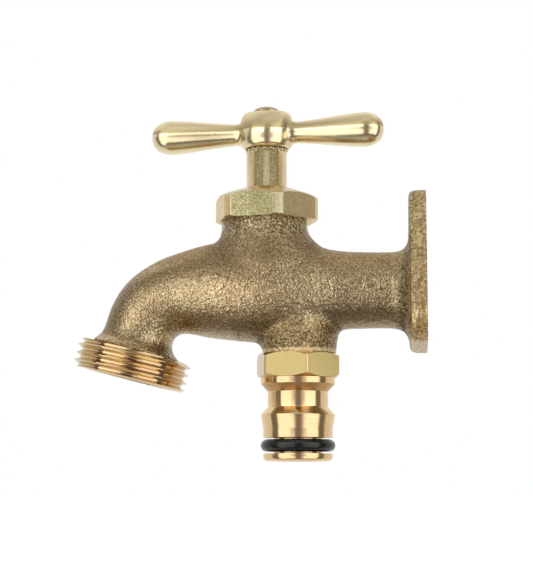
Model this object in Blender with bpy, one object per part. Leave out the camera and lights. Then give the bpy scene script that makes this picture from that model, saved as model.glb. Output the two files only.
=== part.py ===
"""Wall-mounted hose tap (hose bib) with a T-handle, a threaded spout and a push-fit hose inlet.

Frame: metres, +Z up. The origin is the centre of the mounting arm on the back face of the wall
flange. +X points into the wall, so the spout points towards -X. The spindle stands on +Z and
the hose connector hangs towards -Z.

The tap comes apart as: cast body; hexagon packing nut with its follower, packing ring and
packing washer; screwed spindle with T-handle and handle screw; captive jumper with seat washer,
washer nut and retaining ring; hose connector with its O-ring and end gasket.

All driving dimensions below are in millimetres and degrees. Turned profiles are lists of
(radius, z) points about the axis that the piece is placed on.
"""

import math

import bmesh
import bpy
from mathutils import Matrix, Vector

MM = 0.001
GAP = 0.3  # clearance kept between neighbouring pieces

# ---- axes of the tap ----
BONNET_X = -36.7  # spindle, packing nut and seat
INLET_X = -29.55  # hose connector, between the spindle and the wall
NECK_CAST_SHIFT = -0.5  # the cast neck's top is off the machined axis by this in x
BOSS_CAST_SHIFT = -0.25  # and the cast inlet boss by this

# ---- wall flange: three rounded ears ----
FLANGE_T = 4.1
EAR_PCD_R = 18.0
EAR_R = 5.3
EAR_ANGLES = (90.0, 206.0, 334.0)  # from +Y towards +Z
EAR_ARC = 120.0  # part of each ear circle that shows in the outline
SCREW_HOLE_R = 2.25

# ---- arm, barrel and spout ----
ARM_R = 8.8
# centre x, centre z, lean of the section, half height, half width
SPOUT_STATIONS = (
    (-2.0, 0.0, 0.0, ARM_R, ARM_R),
    (-14.0, 0.1, 0.0, ARM_R, ARM_R),
    (-20.0, 0.2, 0.0, 9.1, 9.2),
    (-27.0, 0.2, 0.0, 10.3, 10.5),
    (-33.0, 0.1, 0.0, 11.3, 11.5),
    (-38.0, 0.05, 0.0, 11.65, 11.8),
    (-44.0, 0.2, 0.0, 11.5, 11.5),
    (-50.0, 0.25, 1.0, 10.8, 10.8),
    (-56.1, -0.2, 7.0, 9.35, 9.9),
    (-59.7, -1.3, 18.0, 8.8, 9.4),
    (-63.0, -3.45, 36.0, 8.5, 9.0),
    (-64.9, -5.85, 52.0, 8.25, 8.7),
    (-65.9, -8.2, 65.0, 8.05, 8.3),
    (-66.4, -9.9, 74.0, 8.0, 8.1),
    (-66.8, -11.5, 75.5, 8.5, 8.5),
    (-67.0, -12.6, 75.5, 9.6, 9.6),
    (-67.1, -13.6, 75.5, 11.0, 11.0),
)

# ---- surface of the casting ----
SKIN_VOXEL = 0.85
FILLET_PASSES = 9
FILLET_FACTOR = 0.5
SKIN_KEPT_SHARE = 0.095  # share of the faces left after thinning

# ---- outlet: parallel pipe thread, 3/4 inch ----
OUTLET_END = (-68.6, -19.95)  # centre of the outlet's end face, x and z
OUTLET_LEAN = 14.48  # degrees that the outlet points away from straight down
OUTLET_PITCH = 25.4 / 14.0
OUTLET_MAJOR_R = 26.441 / 2.0
OUTLET_MINOR_R = 24.117 / 2.0
OUTLET_LENGTH = 6.6
OUTLET_BORE_R = 10.0
OUTLET_START = 270.0  # where the thread starts round its axis
OUTLET_SPARE_Z = 5.4  # the casting is cut away from here down, along the outlet's axis

# ---- water way from the valve chamber to the outlet ----
OUTLET_SECTION_LEAN = 90.0 - OUTLET_LEAN
# columns as in SPOUT_STATIONS
PASSAGE_STATIONS = (
    (-42.9, 1.7, 0.0, 4.5, 5.6),
    (-47.0, 1.2, 0.0, 5.3, 6.2),
    (-52.0, 0.4, 3.0, 6.0, 6.4),
    (-57.0, -0.5, 9.0, 6.0, 6.3),
    (-60.6, -2.3, 26.0, 5.8, 6.1),
    (-63.6, -5.3, 48.0, 5.7, 5.9),
    (-65.4, -8.6, 66.0, 5.7, 5.8),
    (-66.3, -11.6, OUTLET_SECTION_LEAN, 6.2, 6.2),
    (-66.9, -14.0, OUTLET_SECTION_LEAN, 8.0, 8.0),
    (-67.25, -15.8, OUTLET_SECTION_LEAN, 8.6, 8.6),
)

# ---- neck and packing chamber ----
NECK_R = 9.8
NECK_TOP_Z = 15.9
NECK_THREAD_R = 8.7
BODY_TOP_Z = 20.4
PACKING_BORE_R = 7.6
PACKING_FLOOR_Z = 14.6
# z, centre x, half length in x, half width in y
NECK_STATIONS = (
    (2.0, BONNET_X, NECK_R + 1.0, NECK_R + 1.0),
    (8.0, BONNET_X + 0.5, NECK_R + 3.4, NECK_R + 0.9),
    (10.2, BONNET_X + 0.3, NECK_R + 2.5, NECK_R + 0.6),
    (11.4, BONNET_X, NECK_R + 1.5, NECK_R + 0.4),
    (12.6, BONNET_X - 0.3, NECK_R + 0.6, NECK_R + 0.2),
    (14.0, BONNET_X + NECK_CAST_SHIFT, NECK_R + 0.1, NECK_R),
    (NECK_TOP_Z + 1.0, BONNET_X + NECK_CAST_SHIFT, NECK_R, NECK_R),
)

# ---- valve chamber, seat and inlet chamber ----
CHAMBER_R = 8.0
CHAMBER_FLOOR_Z = -1.8
CHAMBER_TOP_Z = 5.4
SEAT_R = 4.4
SEAT_RIM_R = 6.3
SEAT_Z = -1.0
INLET_CHAMBER_Z = -7.2

# ---- inlet boss and its bore ----
BOSS_R = 8.6
BOSS_FACE_Z = -14.2
BOSS_BORE_R = 6.9
BOSS_BORE_FLOOR_Z = -7.6
INLET_WAY_R = 4.5
INLET_WAY_TOP_Z = -3.6
LINK_HALF_WIDTH = 3.8
LINK_BOTTOM_Z = -6.9
LINK_TOP_Z = -3.9

# ---- spindle screw, right hand, and the core in the body that it turns in ----
SCREW_PITCH = 2.0
SCREW_MAJOR_R = 6.6
SCREW_MINOR_R = 5.7
CORE_MAJOR_R = 6.9
CORE_MINOR_R = 6.0
SPINDLE_R = 4.65
SPINDLE_FOOT_Z = 4.2
SCREW_TOP_Z = 10.4
TAP_HOLE_FLOOR_Z = 28.6
SPLINE_Z = 32.3
SPLINE_TOP_Z = 39.2
SPLINE_TEETH = 20
SPLINE_TIP_R = 4.55
SPLINE_ROOT_R = 4.15

# ---- packing nut ----
NUT_FLATS = 22.0
NUT_BOTTOM_Z = 16.2
NUT_SHOULDER_Z = 22.3
NUT_TOP_Z = 24.0
NUT_ROOF_Z = 21.2  # underside of the nut's top
NUT_CORNER_R = 12.1
NUT_YAW = -13.0

# ---- jumper, washer nut and retaining ring ----
JUMPER_R = 5.65  # fits inside the screw core
JUMPER_PIN_R = 1.5  # carries the seat washer and the nut
JUMPER_PIN_FOOT_Z = -3.4
JUMPER_DISC_Z = 2.1
JUMPER_DISC_TOP_Z = 3.9
JUMPER_STEM_R = 2.4
JUMPER_STEM_TOP_Z = 11.8
JUMPER_GROOVE_R = 1.9
JUMPER_HOLE_R = JUMPER_STEM_R + GAP
SPINDLE_GROOVE_R = 3.4
GROOVE_BOTTOM_Z = 7.2  # retaining groove, in both jumper and spindle
GROOVE_TOP_Z = 8.7
RETAINER_CENTRE_R = 2.65
RETAINER_WIRE_R = 0.45
RETAINER_OPENING = 40.0
WASHER_NUT_FLATS = 5.5
WASHER_NUT_BOTTOM_Z = SEAT_Z - 2.0
WASHER_NUT_CORNER_R = 3.25

# ---- handle and its screw ----
HANDLE_YAW = -7.5
HUB_BOTTOM_Z = 33.2
HUB_TOP_Z = 41.7
ARM_AXIS_Z = 36.95
ARM_ROOT_X = 7.2
ARM_ROOT_R = 2.5
ARM_BULB_R = 3.98
ARM_BULB_X = 22.8
ARM_TIP_X = 27.4
HANDLE_SCREW_R = 2.0
HANDLE_SCREW_HOLE_R = HANDLE_SCREW_R + GAP
SLOT_HALF_WIDTH = 0.45
SLOT_YAW = 25.0

# ---- hose connector ----
HEX_FLATS = 17.0
HEX_CORNER_R = 9.82
HEX_END_R = 8.55
HEX_CHAMFER = 0.75
HEX_TOP_Z = -14.5
HEX_BOTTOM_Z = -19.9
HEX_YAW = -14.4
COLLAR_R = 8.5
CONNECTOR_NECK_R = 6.88
SPIGOT_R = 7.93
CONNECTOR_TIP_Z = -38.8
CONNECTOR_BORE_R = 4.6
CONNECTOR_THREAD_R = 6.58
CONNECTOR_END_Z = -9.3
RING_Z = -35.2
RING_CENTRE_R = 7.2
RING_WIRE_R = 1.3
RING_GROOVE_R = 5.6
RING_GROOVE_BOTTOM_Z = -37.03
RING_GROOVE_TOP_Z = -33.45
GASKET_BOTTOM_Z = -8.95
GASKET_TOP_Z = -7.95


# ------------------------------------------------------------------ scene and objects

def clear_scene():
    for obj in list(bpy.data.objects):
        bpy.data.objects.remove(obj, do_unlink=True)


def make_material(name, colour, metallic, roughness):
    material = bpy.data.materials.new(name)
    material.use_nodes = True
    shader = material.node_tree.nodes["Principled BSDF"]
    shader.inputs["Base Color"].default_value = (*colour, 1.0)
    shader.inputs["Metallic"].default_value = metallic
    shader.inputs["Roughness"].default_value = roughness
    return material


def add_empty(name, x, z):
    empty = bpy.data.objects.new(name, None)
    empty.empty_display_size = 0.01
    empty.location = Vector((x, 0.0, z)) * MM
    bpy.context.scene.collection.objects.link(empty)
    bpy.context.view_layer.update()  # its children need its world matrix
    return empty


def add_object(name, bm, parent, material=None, location=(0.0, 0.0, 0.0), yaw=0.0, lean=0.0,
               sharp=35.0):
    """Turns a bmesh in millimetres into an object in metres. yaw is about +Z, lean about +Y."""
    bmesh.ops.recalc_face_normals(bm, faces=bm.faces)
    bmesh.ops.scale(bm, vec=(MM, MM, MM), verts=bm.verts)
    mesh = bpy.data.meshes.new(name)
    bm.to_mesh(mesh)
    bm.free()
    mesh.shade_smooth()
    mesh.set_sharp_from_angle(angle=math.radians(sharp))
    obj = bpy.data.objects.new(name, mesh)
    bpy.context.scene.collection.objects.link(obj)
    obj.location = Vector(location) * MM
    obj.rotation_euler = (0.0, math.radians(lean), math.radians(yaw))
    if material:
        mesh.materials.append(material)
    obj.parent = parent
    obj.matrix_parent_inverse = parent.matrix_world.inverted()
    return obj


def add_helper(name, bm, **place):
    """A cutter, or a shape that is only joined into another one."""
    obj = add_object(name, bm, **place)
    obj.hide_render = True
    obj.display_type = "WIRE"
    return obj


def boolean(target, operation, other, solver="MANIFOLD"):
    modifier = target.modifiers.new(operation.lower() + "_" + other.name, "BOOLEAN")
    modifier.operation = operation
    modifier.object = other
    modifier.solver = solver


def combine(target, operation, name, bm, solver="MANIFOLD", **place):
    """Adds a helper and combines it with the target."""
    boolean(target, operation, add_helper(name, bm, **place), solver)


# ------------------------------------------------------------------ shapes

def circle_angles(seg):
    return [2.0 * math.pi * i / seg for i in range(seg)]


def bridge(bm, ring_a, ring_b):
    count = len(ring_a)
    for i in range(count):
        j = (i + 1) % count
        bm.faces.new((ring_a[i], ring_a[j], ring_b[j], ring_b[i]))


def tube(rings, closed=False):
    """A skin over rings of (x, y, z) points, capped at both ends or closed on itself."""
    bm = bmesh.new()
    rings = [[bm.verts.new(point) for point in ring] for ring in rings]
    for ring_a, ring_b in zip(rings, rings[1:]):
        bridge(bm, ring_a, ring_b)
    if closed:
        bridge(bm, rings[-1], rings[0])
    else:
        bm.faces.new(rings[0])
        bm.faces.new(rings[-1])
    return bm


def turned(profile, seg, closed=False):
    """A shape turned on +Z from (radius, z) points."""
    return tube(
        [[(r * math.cos(a), r * math.sin(a), z) for a in circle_angles(seg)] for r, z in profile],
        closed,
    )


def prism(points, z0, z1):
    """A straight prism over a closed outline of (x, y) points."""
    return tube([[(x, y, z) for x, y in points] for z in (z0, z1)])


def box(x0, x1, y0, y1, z0, z1):
    return prism(((x0, y0), (x1, y0), (x1, y1), (x0, y1)), z0, z1)


def hexagon(flats):
    corner = flats / math.sqrt(3.0)
    return [
        (corner * math.cos(math.pi * i / 3.0), corner * math.sin(math.pi * i / 3.0))
        for i in range(6)
    ]


def lofted(stations, seg):
    """A closed tube through elliptical sections. lean tips a section's top towards -X."""
    rings = []
    for x, z, lean, half_height, half_width in stations:
        lean = math.radians(lean)
        up_x, up_z = -math.sin(lean), math.cos(lean)
        ring = []
        for angle in circle_angles(seg):
            height = half_height * math.cos(angle)
            ring.append((x + up_x * height, half_width * math.sin(angle), z + up_z * height))
        rings.append(ring)
    return tube(rings)


def risen(stations, seg):
    """A closed upright shape through (z, centre x, half length in x, half width in y) ellipses."""
    return tube([
        [(x + half_x * math.cos(a), half_y * math.sin(a), z) for a in circle_angles(seg)]
        for z, x, half_x, half_y in stations
    ])


def catmull_rom(before, start, end, after, t):
    """The value at share t of the way from start to end."""
    return 0.5 * (
        2 * start
        + (end - before) * t
        + (2 * before - 5 * start + 4 * end - after) * t * t
        + (3 * start - before - 3 * end + after) * t**3
    )


def smooth_stations(stations, per_span):
    """Adds Catmull-Rom points between the stations, so that a tube bends evenly."""
    found = []
    last = len(stations) - 1
    for k in range(last):
        nearby = (
            stations[max(k - 1, 0)],
            stations[k],
            stations[k + 1],
            stations[min(k + 2, last)],
        )
        for step in range(per_span):
            t = step / per_span
            found.append(tuple(catmull_rom(*values, t) for values in zip(*nearby)))
    found.append(stations[last])
    return found


def screw_rod(minor, major, root_half, crest_half, pitch, z0, z1, seg):
    """A right-hand screw of trapezoid teeth, a little longer than z0 to z1. Its rows follow the
    helix, so the rod closes on itself one pitch higher after each turn."""
    tooth = (
        (-root_half, minor),
        (-crest_half, major),
        (crest_half, major),
        (root_half, minor),
    )
    turns = int(math.ceil((z1 - z0) / pitch)) + 2
    points = [(r, z0 - pitch + pitch * k + dz) for k in range(turns + 1) for dz, r in tooth]
    per_turn = len(tooth)
    bm = bmesh.new()
    columns = []
    for i, angle in enumerate(circle_angles(seg)):
        lift = pitch * i / seg
        columns.append([
            bm.verts.new((r * math.cos(angle), r * math.sin(angle), z + lift)) for r, z in points
        ])
    rows = len(points) - per_turn - 1
    for i in range(seg):
        here, there = columns[i], columns[(i + 1) % seg]
        shift = per_turn if i == seg - 1 else 0
        for j in range(rows):
            bm.faces.new((here[j], there[j + shift], there[j + 1 + shift], here[j + 1]))

    # each end is a fan of triangles; its loop steps back down the seam to where it began
    foot = bm.verts.new((0.0, 0.0, points[0][1] - 0.3 * pitch))
    head = bm.verts.new((0.0, 0.0, points[rows][1] + 1.3 * pitch))
    for row, tip in ((0, foot), (rows, head)):
        loop = [column[row] for column in columns]
        loop += [columns[0][row + j] for j in range(per_turn, 0, -1)]
        for vert, following in zip(loop, loop[1:] + loop[:1]):
            bm.faces.new((vert, following, tip))
    return bm


def turned_by(bm, angle, axis="Z"):
    matrix = Matrix.Rotation(math.radians(angle), 3, axis)
    bmesh.ops.rotate(bm, verts=bm.verts, cent=(0, 0, 0), matrix=matrix)
    return bm


def on_x(bm):
    """Lays a shape made on +Z down along +X."""
    return turned_by(bm, 90.0, "Y")


def moved(bm, x=0.0, y=0.0, z=0.0):
    bmesh.ops.translate(bm, verts=bm.verts, vec=(x, y, z))
    return bm


# ------------------------------------------------------------------ cast body

def ear_centre(angle):
    """Centre of a flange ear, y and z."""
    return EAR_PCD_R * math.cos(math.radians(angle)), EAR_PCD_R * math.sin(math.radians(angle))


def ear_outline(seg=12):
    """The flange outline: an arc round each ear, as (y, z) points, anticlockwise."""
    points = []
    for ear_angle in EAR_ANGLES:
        y, z = ear_centre(ear_angle)
        for i in range(seg + 1):
            angle = math.radians(ear_angle - EAR_ARC / 2.0 + EAR_ARC * i / seg)
            points.append((y + EAR_R * math.cos(angle), z + EAR_R * math.sin(angle)))
    return points


def join_casting_blanks(body):
    """Flange, flare behind it, neck and inlet boss, joined to the arm and spout."""
    flare = (
        (ARM_R - 0.3, -9.0),
        (ARM_R, -6.6),
        (9.3, -5.4),
        (10.2, -4.5),
        (11.6, -3.9),
        (11.6, -2.0),
    )
    boss = (
        (BOSS_R - 0.1, BOSS_FACE_Z - 1.5),
        (BOSS_R, -13.2),
        (BOSS_R + 0.3, -12.2),
        (BOSS_R + 1.0, -11.2),
        (BOSS_R + 1.6, -10.2),
        (BOSS_R + 1.6, -3.0),
    )
    flange = on_x(prism([(-z, y) for y, z in ear_outline()], -FLANGE_T, 2.0))
    boss_place = dict(location=(INLET_X + BOSS_CAST_SHIFT, 0.0, 0.0), parent=wall_frame)
    for name, shape, place in (
        ("flange_blank", flange, wall_place),
        ("arm_flare", on_x(turned(flare, 36)), wall_place),
        ("neck_blank", risen(NECK_STATIONS, 36), wall_place),
        ("boss_blank", turned(boss, 36), boss_place),
    ):
        combine(body, "UNION", name, shape, "EXACT", **place)


def round_casting(body):
    """Gives the joined blanks one skin, softens its corners and thins the mesh."""
    skin = body.modifiers.new("casting_skin", "REMESH")
    skin.mode = "VOXEL"
    skin.voxel_size = SKIN_VOXEL * MM
    skin.adaptivity = 0.0
    fillets = body.modifiers.new("casting_fillets", "SMOOTH")
    fillets.factor = FILLET_FACTOR
    fillets.iterations = FILLET_PASSES
    lighter = body.modifiers.new("lighter", "DECIMATE")
    lighter.ratio = SKIN_KEPT_SHARE


def cut_flat_faces(body):
    """Flat wall face, neck top, boss face and end of the cast spout."""
    neck_top = box(-14.0, 14.0, -14.0, 14.0, NECK_TOP_Z, NECK_TOP_Z + 6.0)
    boss_face = box(-12.0, 12.0, -12.0, 12.0, BOSS_FACE_Z - 6.0, BOSS_FACE_Z)
    outlet_spare = box(-20.0, 20.0, -20.0, 20.0, -12.0, OUTLET_SPARE_Z)
    for name, shape, place in (
        ("cut_wall_face", box(0.0, 8.0, -30.0, 30.0, -30.0, 30.0), wall_place),
        ("cut_neck_top", moved(neck_top, x=BONNET_X), wall_place),
        ("cut_boss_face", moved(boss_face, x=INLET_X), wall_place),
        ("cut_outlet_spare", outlet_spare, outlet_place),
    ):
        combine(body, "DIFFERENCE", name, shape, **place)


def add_neck_spigot(body):
    """The neck's threaded part, left as a plain cylinder."""
    profile = (
        (NECK_THREAD_R, 10.0),
        (NECK_THREAD_R, BODY_TOP_Z - 0.5),
        (NECK_THREAD_R - 0.5, BODY_TOP_Z),
    )
    combine(body, "UNION", "neck_spigot", turned(profile, 40), **bonnet_place)


def add_outlet_thread(body):
    """A true helix trimmed to a chamfered envelope."""
    rod = screw_rod(
        OUTLET_MINOR_R,
        OUTLET_MAJOR_R,
        root_half=0.74,
        crest_half=0.13,
        pitch=OUTLET_PITCH,
        z0=0.0,
        z1=OUTLET_LENGTH,
        seg=32,
    )
    thread = add_helper("outlet_thread", turned_by(rod, OUTLET_START), **outlet_place)
    envelope = (
        (12.45, 0.0),
        (13.6, 0.9),
        (13.6, OUTLET_LENGTH - 0.25),
        (12.7, OUTLET_LENGTH),
    )
    combine(thread, "INTERSECT", "outlet_envelope", turned(envelope, 32), **outlet_place)
    boolean(body, "UNION", thread)


def cut_outlet_way(body):
    """The bent passage through the spout, and the wide bore at its mouth."""
    passage = lofted(smooth_stations(PASSAGE_STATIONS, per_span=2), 20)
    combine(body, "DIFFERENCE", "water_way_outlet", passage, **wall_place)
    mouth = ((OUTLET_BORE_R, -2.0), (OUTLET_BORE_R, 4.0), (8.2, 6.0))
    combine(body, "DIFFERENCE", "cut_outlet_mouth", turned(mouth, 32), **outlet_place)


def cut_bonnet_bore(body):
    """Inlet chamber, raised seat, valve chamber, screw core and packing chamber, upwards."""
    profile = (
        (SEAT_R, INLET_CHAMBER_Z),
        (SEAT_R, SEAT_Z - 0.3),
        (SEAT_R + 0.3, SEAT_Z),
        (SEAT_RIM_R, SEAT_Z),
        (SEAT_RIM_R + 0.3, CHAMBER_FLOOR_Z),
        (CHAMBER_R, CHAMBER_FLOOR_Z),
        (CHAMBER_R, CHAMBER_TOP_Z - 1.2),
        (CORE_MINOR_R, CHAMBER_TOP_Z),
        (CORE_MINOR_R, PACKING_FLOOR_Z),
        (PACKING_BORE_R, PACKING_FLOOR_Z),
        (PACKING_BORE_R, BODY_TOP_Z + 2.0),
    )
    combine(body, "DIFFERENCE", "cut_bonnet_bore", turned(profile, 32), **bonnet_place)


def cut_inlet(body):
    """The boss bore, and the short way across to below the seat."""
    profile = (
        (BOSS_BORE_R + 0.5, BOSS_FACE_Z - 2.0),
        (BOSS_BORE_R + 0.5, BOSS_FACE_Z),
        (BOSS_BORE_R, BOSS_FACE_Z + 0.5),
        (BOSS_BORE_R, BOSS_BORE_FLOOR_Z),
        (INLET_WAY_R, BOSS_BORE_FLOOR_Z),
        (INLET_WAY_R, INLET_WAY_TOP_Z),
    )
    place = dict(location=(INLET_X, 0.0, 0.0), parent=wall_frame)
    combine(body, "DIFFERENCE", "cut_boss_bore", turned(profile, 32), **place)
    link = box(
        BONNET_X, INLET_X, -LINK_HALF_WIDTH, LINK_HALF_WIDTH, LINK_BOTTOM_Z, LINK_TOP_Z
    )
    combine(body, "DIFFERENCE", "cut_inlet_link", link, **wall_place)


def cut_screw_holes(body):
    """One hole through each flange ear."""
    for number, angle in enumerate(EAR_ANGLES, start=1):
        y, z = ear_centre(angle)
        hole = on_x(turned(((SCREW_HOLE_R, -12.0), (SCREW_HOLE_R, 4.0)), 24))
        name = "cut_screw_hole_%d" % number
        combine(body, "DIFFERENCE", name, moved(hole, y=y, z=z), **wall_place)


def cut_body_screw(body):
    """The internal thread that the spindle turns in."""
    rod = screw_rod(
        CORE_MINOR_R - 0.25,
        CORE_MAJOR_R,
        root_half=0.82,
        crest_half=0.57,
        pitch=SCREW_PITCH,
        z0=SPINDLE_FOOT_Z - SCREW_PITCH,
        z1=14.0,
        seg=20,
    )
    screw = add_helper("cut_body_screw", rod, **bonnet_place)
    trim = ((7.6, CHAMBER_TOP_Z - 1.6), (7.6, PACKING_FLOOR_Z + 0.5))
    combine(screw, "INTERSECT", "body_screw_trim", turned(trim, 20), **bonnet_place)
    boolean(body, "DIFFERENCE", screw)


def build_body():
    spout = lofted(smooth_stations(SPOUT_STATIONS, per_span=4), 36)
    body = add_object("body", spout, material=cast_brass, **wall_place)
    join_casting_blanks(body)
    round_casting(body)
    cut_flat_faces(body)
    add_neck_spigot(body)
    add_outlet_thread(body)
    cut_outlet_way(body)
    cut_bonnet_bore(body)
    cut_inlet(body)
    cut_screw_holes(body)
    cut_body_screw(body)


# ------------------------------------------------------------------ packing nut and gland

def build_packing_nut():
    envelope = (
        (NUT_CORNER_R - 0.3, NUT_BOTTOM_Z),
        (NUT_CORNER_R, NUT_BOTTOM_Z + 0.2),
        (NUT_CORNER_R, NUT_SHOULDER_Z - 1.0),
        (10.3, NUT_SHOULDER_Z),
        (7.8, NUT_SHOULDER_Z + 0.85),
        (5.6, NUT_TOP_Z - 0.15),
        (5.0, NUT_TOP_Z),
    )
    bore = (
        (10.6, NUT_BOTTOM_Z - 2.0),
        (10.6, NUT_BOTTOM_Z),
        (NECK_THREAD_R + GAP, NUT_BOTTOM_Z + 1.3),
        (NECK_THREAD_R + GAP, NUT_ROOF_Z),
        (SPINDLE_R + GAP, NUT_ROOF_Z),
        (SPINDLE_R + GAP, NUT_TOP_Z + 2.0),
    )
    nut = add_object(
        "packing_nut",
        prism(hexagon(NUT_FLATS), NUT_BOTTOM_Z, NUT_TOP_Z),
        material=nut_brass,
        yaw=NUT_YAW,
        sharp=20.0,
        **bonnet_place,
    )
    combine(nut, "INTERSECT", "nut_envelope", turned(envelope, 36), "EXACT", **bonnet_place)
    combine(nut, "DIFFERENCE", "cut_nut_bore", turned(bore, 32), "EXACT", **bonnet_place)


def build_washer(name, inner, outer, z0, z1, edge, material, place):
    """A flat ring with eased outer edges."""
    profile = (
        (inner, z0),
        (outer - edge, z0),
        (outer, z0 + edge),
        (outer, z1 - edge),
        (outer - edge, z1),
        (inner, z1),
    )
    add_object(name, turned(profile, 24, closed=True), material=material, **place)


def build_gland():
    """Washer, packing and follower, stacked upwards from the packing chamber's floor."""
    below = PACKING_FLOOR_Z
    for name, thickness, edge, material in (
        ("packing_washer", 1.1, 0.15, turned_brass),
        ("packing_ring", 2.6, 0.4, packing_fibre),
        ("gland_follower", 1.7, 0.3, turned_brass),
    ):
        bottom = below + GAP
        top = bottom + thickness
        build_washer(
            name, SPINDLE_R + GAP, PACKING_BORE_R - GAP, bottom, top, edge, material, bonnet_place
        )
        below = top


# ------------------------------------------------------------------ spindle

def spline_outline():
    """Four points to a tooth: two at the tip radius and two at the root."""
    points = []
    for k in range(4 * SPLINE_TEETH):
        radius = SPLINE_TIP_R if k % 4 in (1, 2) else SPLINE_ROOT_R
        angle = 2 * math.pi * k / (4 * SPLINE_TEETH)
        points.append((radius * math.cos(angle), radius * math.sin(angle)))
    return points


def build_spindle():
    """A screw with a plain stem, a splined top, a jumper hole below and a tap hole above."""
    screw = screw_rod(
        SCREW_MINOR_R,
        SCREW_MAJOR_R,
        root_half=0.50,
        crest_half=0.28,
        pitch=SCREW_PITCH,
        z0=SPINDLE_FOOT_Z,
        z1=SCREW_TOP_Z,
        seg=20,
    )
    trim = (
        (6.1, SPINDLE_FOOT_Z),
        (6.8, SPINDLE_FOOT_Z + 0.6),
        (6.8, SCREW_TOP_Z - 0.6),
        (6.1, SCREW_TOP_Z),
    )
    stem = (
        (3.6, SPINDLE_FOOT_Z + 3.0),
        (SPINDLE_R, SPINDLE_FOOT_Z + 4.0),
        (SPINDLE_R, SPLINE_Z - 0.25),
        (SPINDLE_R - 0.35, SPLINE_Z),
        (SPLINE_ROOT_R - 0.1, SPLINE_Z),
        (SPLINE_ROOT_R - 0.1, SPLINE_TOP_Z - 0.8),
    )
    jumper_hole = (
        (JUMPER_HOLE_R, SPINDLE_FOOT_Z - 2.0),
        (JUMPER_HOLE_R, GROOVE_BOTTOM_Z),
        (SPINDLE_GROOVE_R, GROOVE_BOTTOM_Z),
        (SPINDLE_GROOVE_R, GROOVE_TOP_Z),
        (JUMPER_HOLE_R, GROOVE_TOP_Z),
        (JUMPER_HOLE_R, 12.6),
    )
    tap_hole = (
        (HANDLE_SCREW_HOLE_R, TAP_HOLE_FLOOR_Z),
        (HANDLE_SCREW_HOLE_R, SPLINE_TOP_Z + 2.0),
    )
    spline = prism(spline_outline(), SPLINE_Z - 1.2, SPLINE_TOP_Z)
    spindle = add_object("spindle", screw, material=spindle_brass, **spindle_place)
    for operation, name, shape in (
        ("INTERSECT", "screw_trim", turned(trim, 20)),
        ("UNION", "stem_blank", turned(stem, 32)),
        ("UNION", "spline_blank", spline),
        ("DIFFERENCE", "cut_spindle_foot", turned(jumper_hole, 24)),
        ("DIFFERENCE", "cut_spindle_tap_hole", turned(tap_hole, 20)),
    ):
        combine(spindle, operation, name, shape, **spindle_place)


# ------------------------------------------------------------------ jumper and what it carries

def build_jumper():
    """A pin below, a disc, and a grooved stem that stands in the spindle."""
    profile = (
        (JUMPER_PIN_R - 0.15, JUMPER_PIN_FOOT_Z),
        (JUMPER_PIN_R, JUMPER_PIN_FOOT_Z + 0.2),
        (JUMPER_PIN_R, JUMPER_DISC_Z),
        (JUMPER_R - 0.3, JUMPER_DISC_Z),
        (JUMPER_R, JUMPER_DISC_Z + 0.3),
        (JUMPER_R, JUMPER_DISC_TOP_Z - 0.3),
        (JUMPER_R - 0.3, JUMPER_DISC_TOP_Z),
        (JUMPER_STEM_R, JUMPER_DISC_TOP_Z),
        (JUMPER_STEM_R, GROOVE_BOTTOM_Z),
        (JUMPER_GROOVE_R, GROOVE_BOTTOM_Z),
        (JUMPER_GROOVE_R, GROOVE_TOP_Z),
        (JUMPER_STEM_R, GROOVE_TOP_Z),
        (JUMPER_STEM_R, JUMPER_STEM_TOP_Z - 0.5),
        (JUMPER_STEM_R - 0.4, JUMPER_STEM_TOP_Z),
    )
    add_object("jumper", turned(profile, 24), material=turned_brass, **valve_place)


def build_seat_washer():
    build_washer(
        "seat_washer",
        inner=JUMPER_PIN_R + GAP,
        outer=JUMPER_R - 0.05,
        z0=SEAT_Z + GAP,
        z1=JUMPER_DISC_Z - GAP,
        edge=0.2,
        material=seal_rubber,
        place=valve_place,
    )


def build_washer_nut():
    corner_trim = (
        (2.75, WASHER_NUT_BOTTOM_Z),
        (WASHER_NUT_CORNER_R, WASHER_NUT_BOTTOM_Z + 0.3),
        (WASHER_NUT_CORNER_R, SEAT_Z + 1.0),
    )
    bore = ((JUMPER_PIN_R + GAP, -5.0), (JUMPER_PIN_R + GAP, 2.0))
    blank = prism(hexagon(WASHER_NUT_FLATS), WASHER_NUT_BOTTOM_Z, SEAT_Z)
    nut = add_object("washer_nut", blank, material=turned_brass, **valve_place)
    combine(nut, "INTERSECT", "nut_corner_trim", turned(corner_trim, 24), "EXACT", **valve_place)
    combine(nut, "DIFFERENCE", "cut_washer_nut_bore", turned(bore, 20), "EXACT", **valve_place)


def wire_ring(centre_r, wire_r, around, seg, opening=0.0):
    """A ring of round wire. With an opening in degrees it is split at +X, with flat ends."""
    span = math.radians(360.0 - opening)
    rings = []
    for i in range(around + 1 if opening else around):
        angle = math.radians(opening / 2.0) + span * i / around
        ring = []
        for wire_angle in circle_angles(seg):
            radius = centre_r + wire_r * math.cos(wire_angle)
            height = wire_r * math.sin(wire_angle)
            ring.append((radius * math.cos(angle), radius * math.sin(angle), height))
        rings.append(ring)
    return tube(rings, closed=not opening)


def build_retaining_ring():
    """A split ring halfway up the retaining groove."""
    add_object(
        "jumper_retaining_ring",
        wire_ring(RETAINER_CENTRE_R, RETAINER_WIRE_R, around=24, seg=8, opening=RETAINER_OPENING),
        material=screw_brass,
        location=(BONNET_X, 0.0, (GROOVE_BOTTOM_Z + GROOVE_TOP_Z) / 2.0),
        parent=valve_axis,
    )


# ------------------------------------------------------------------ handle

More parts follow.
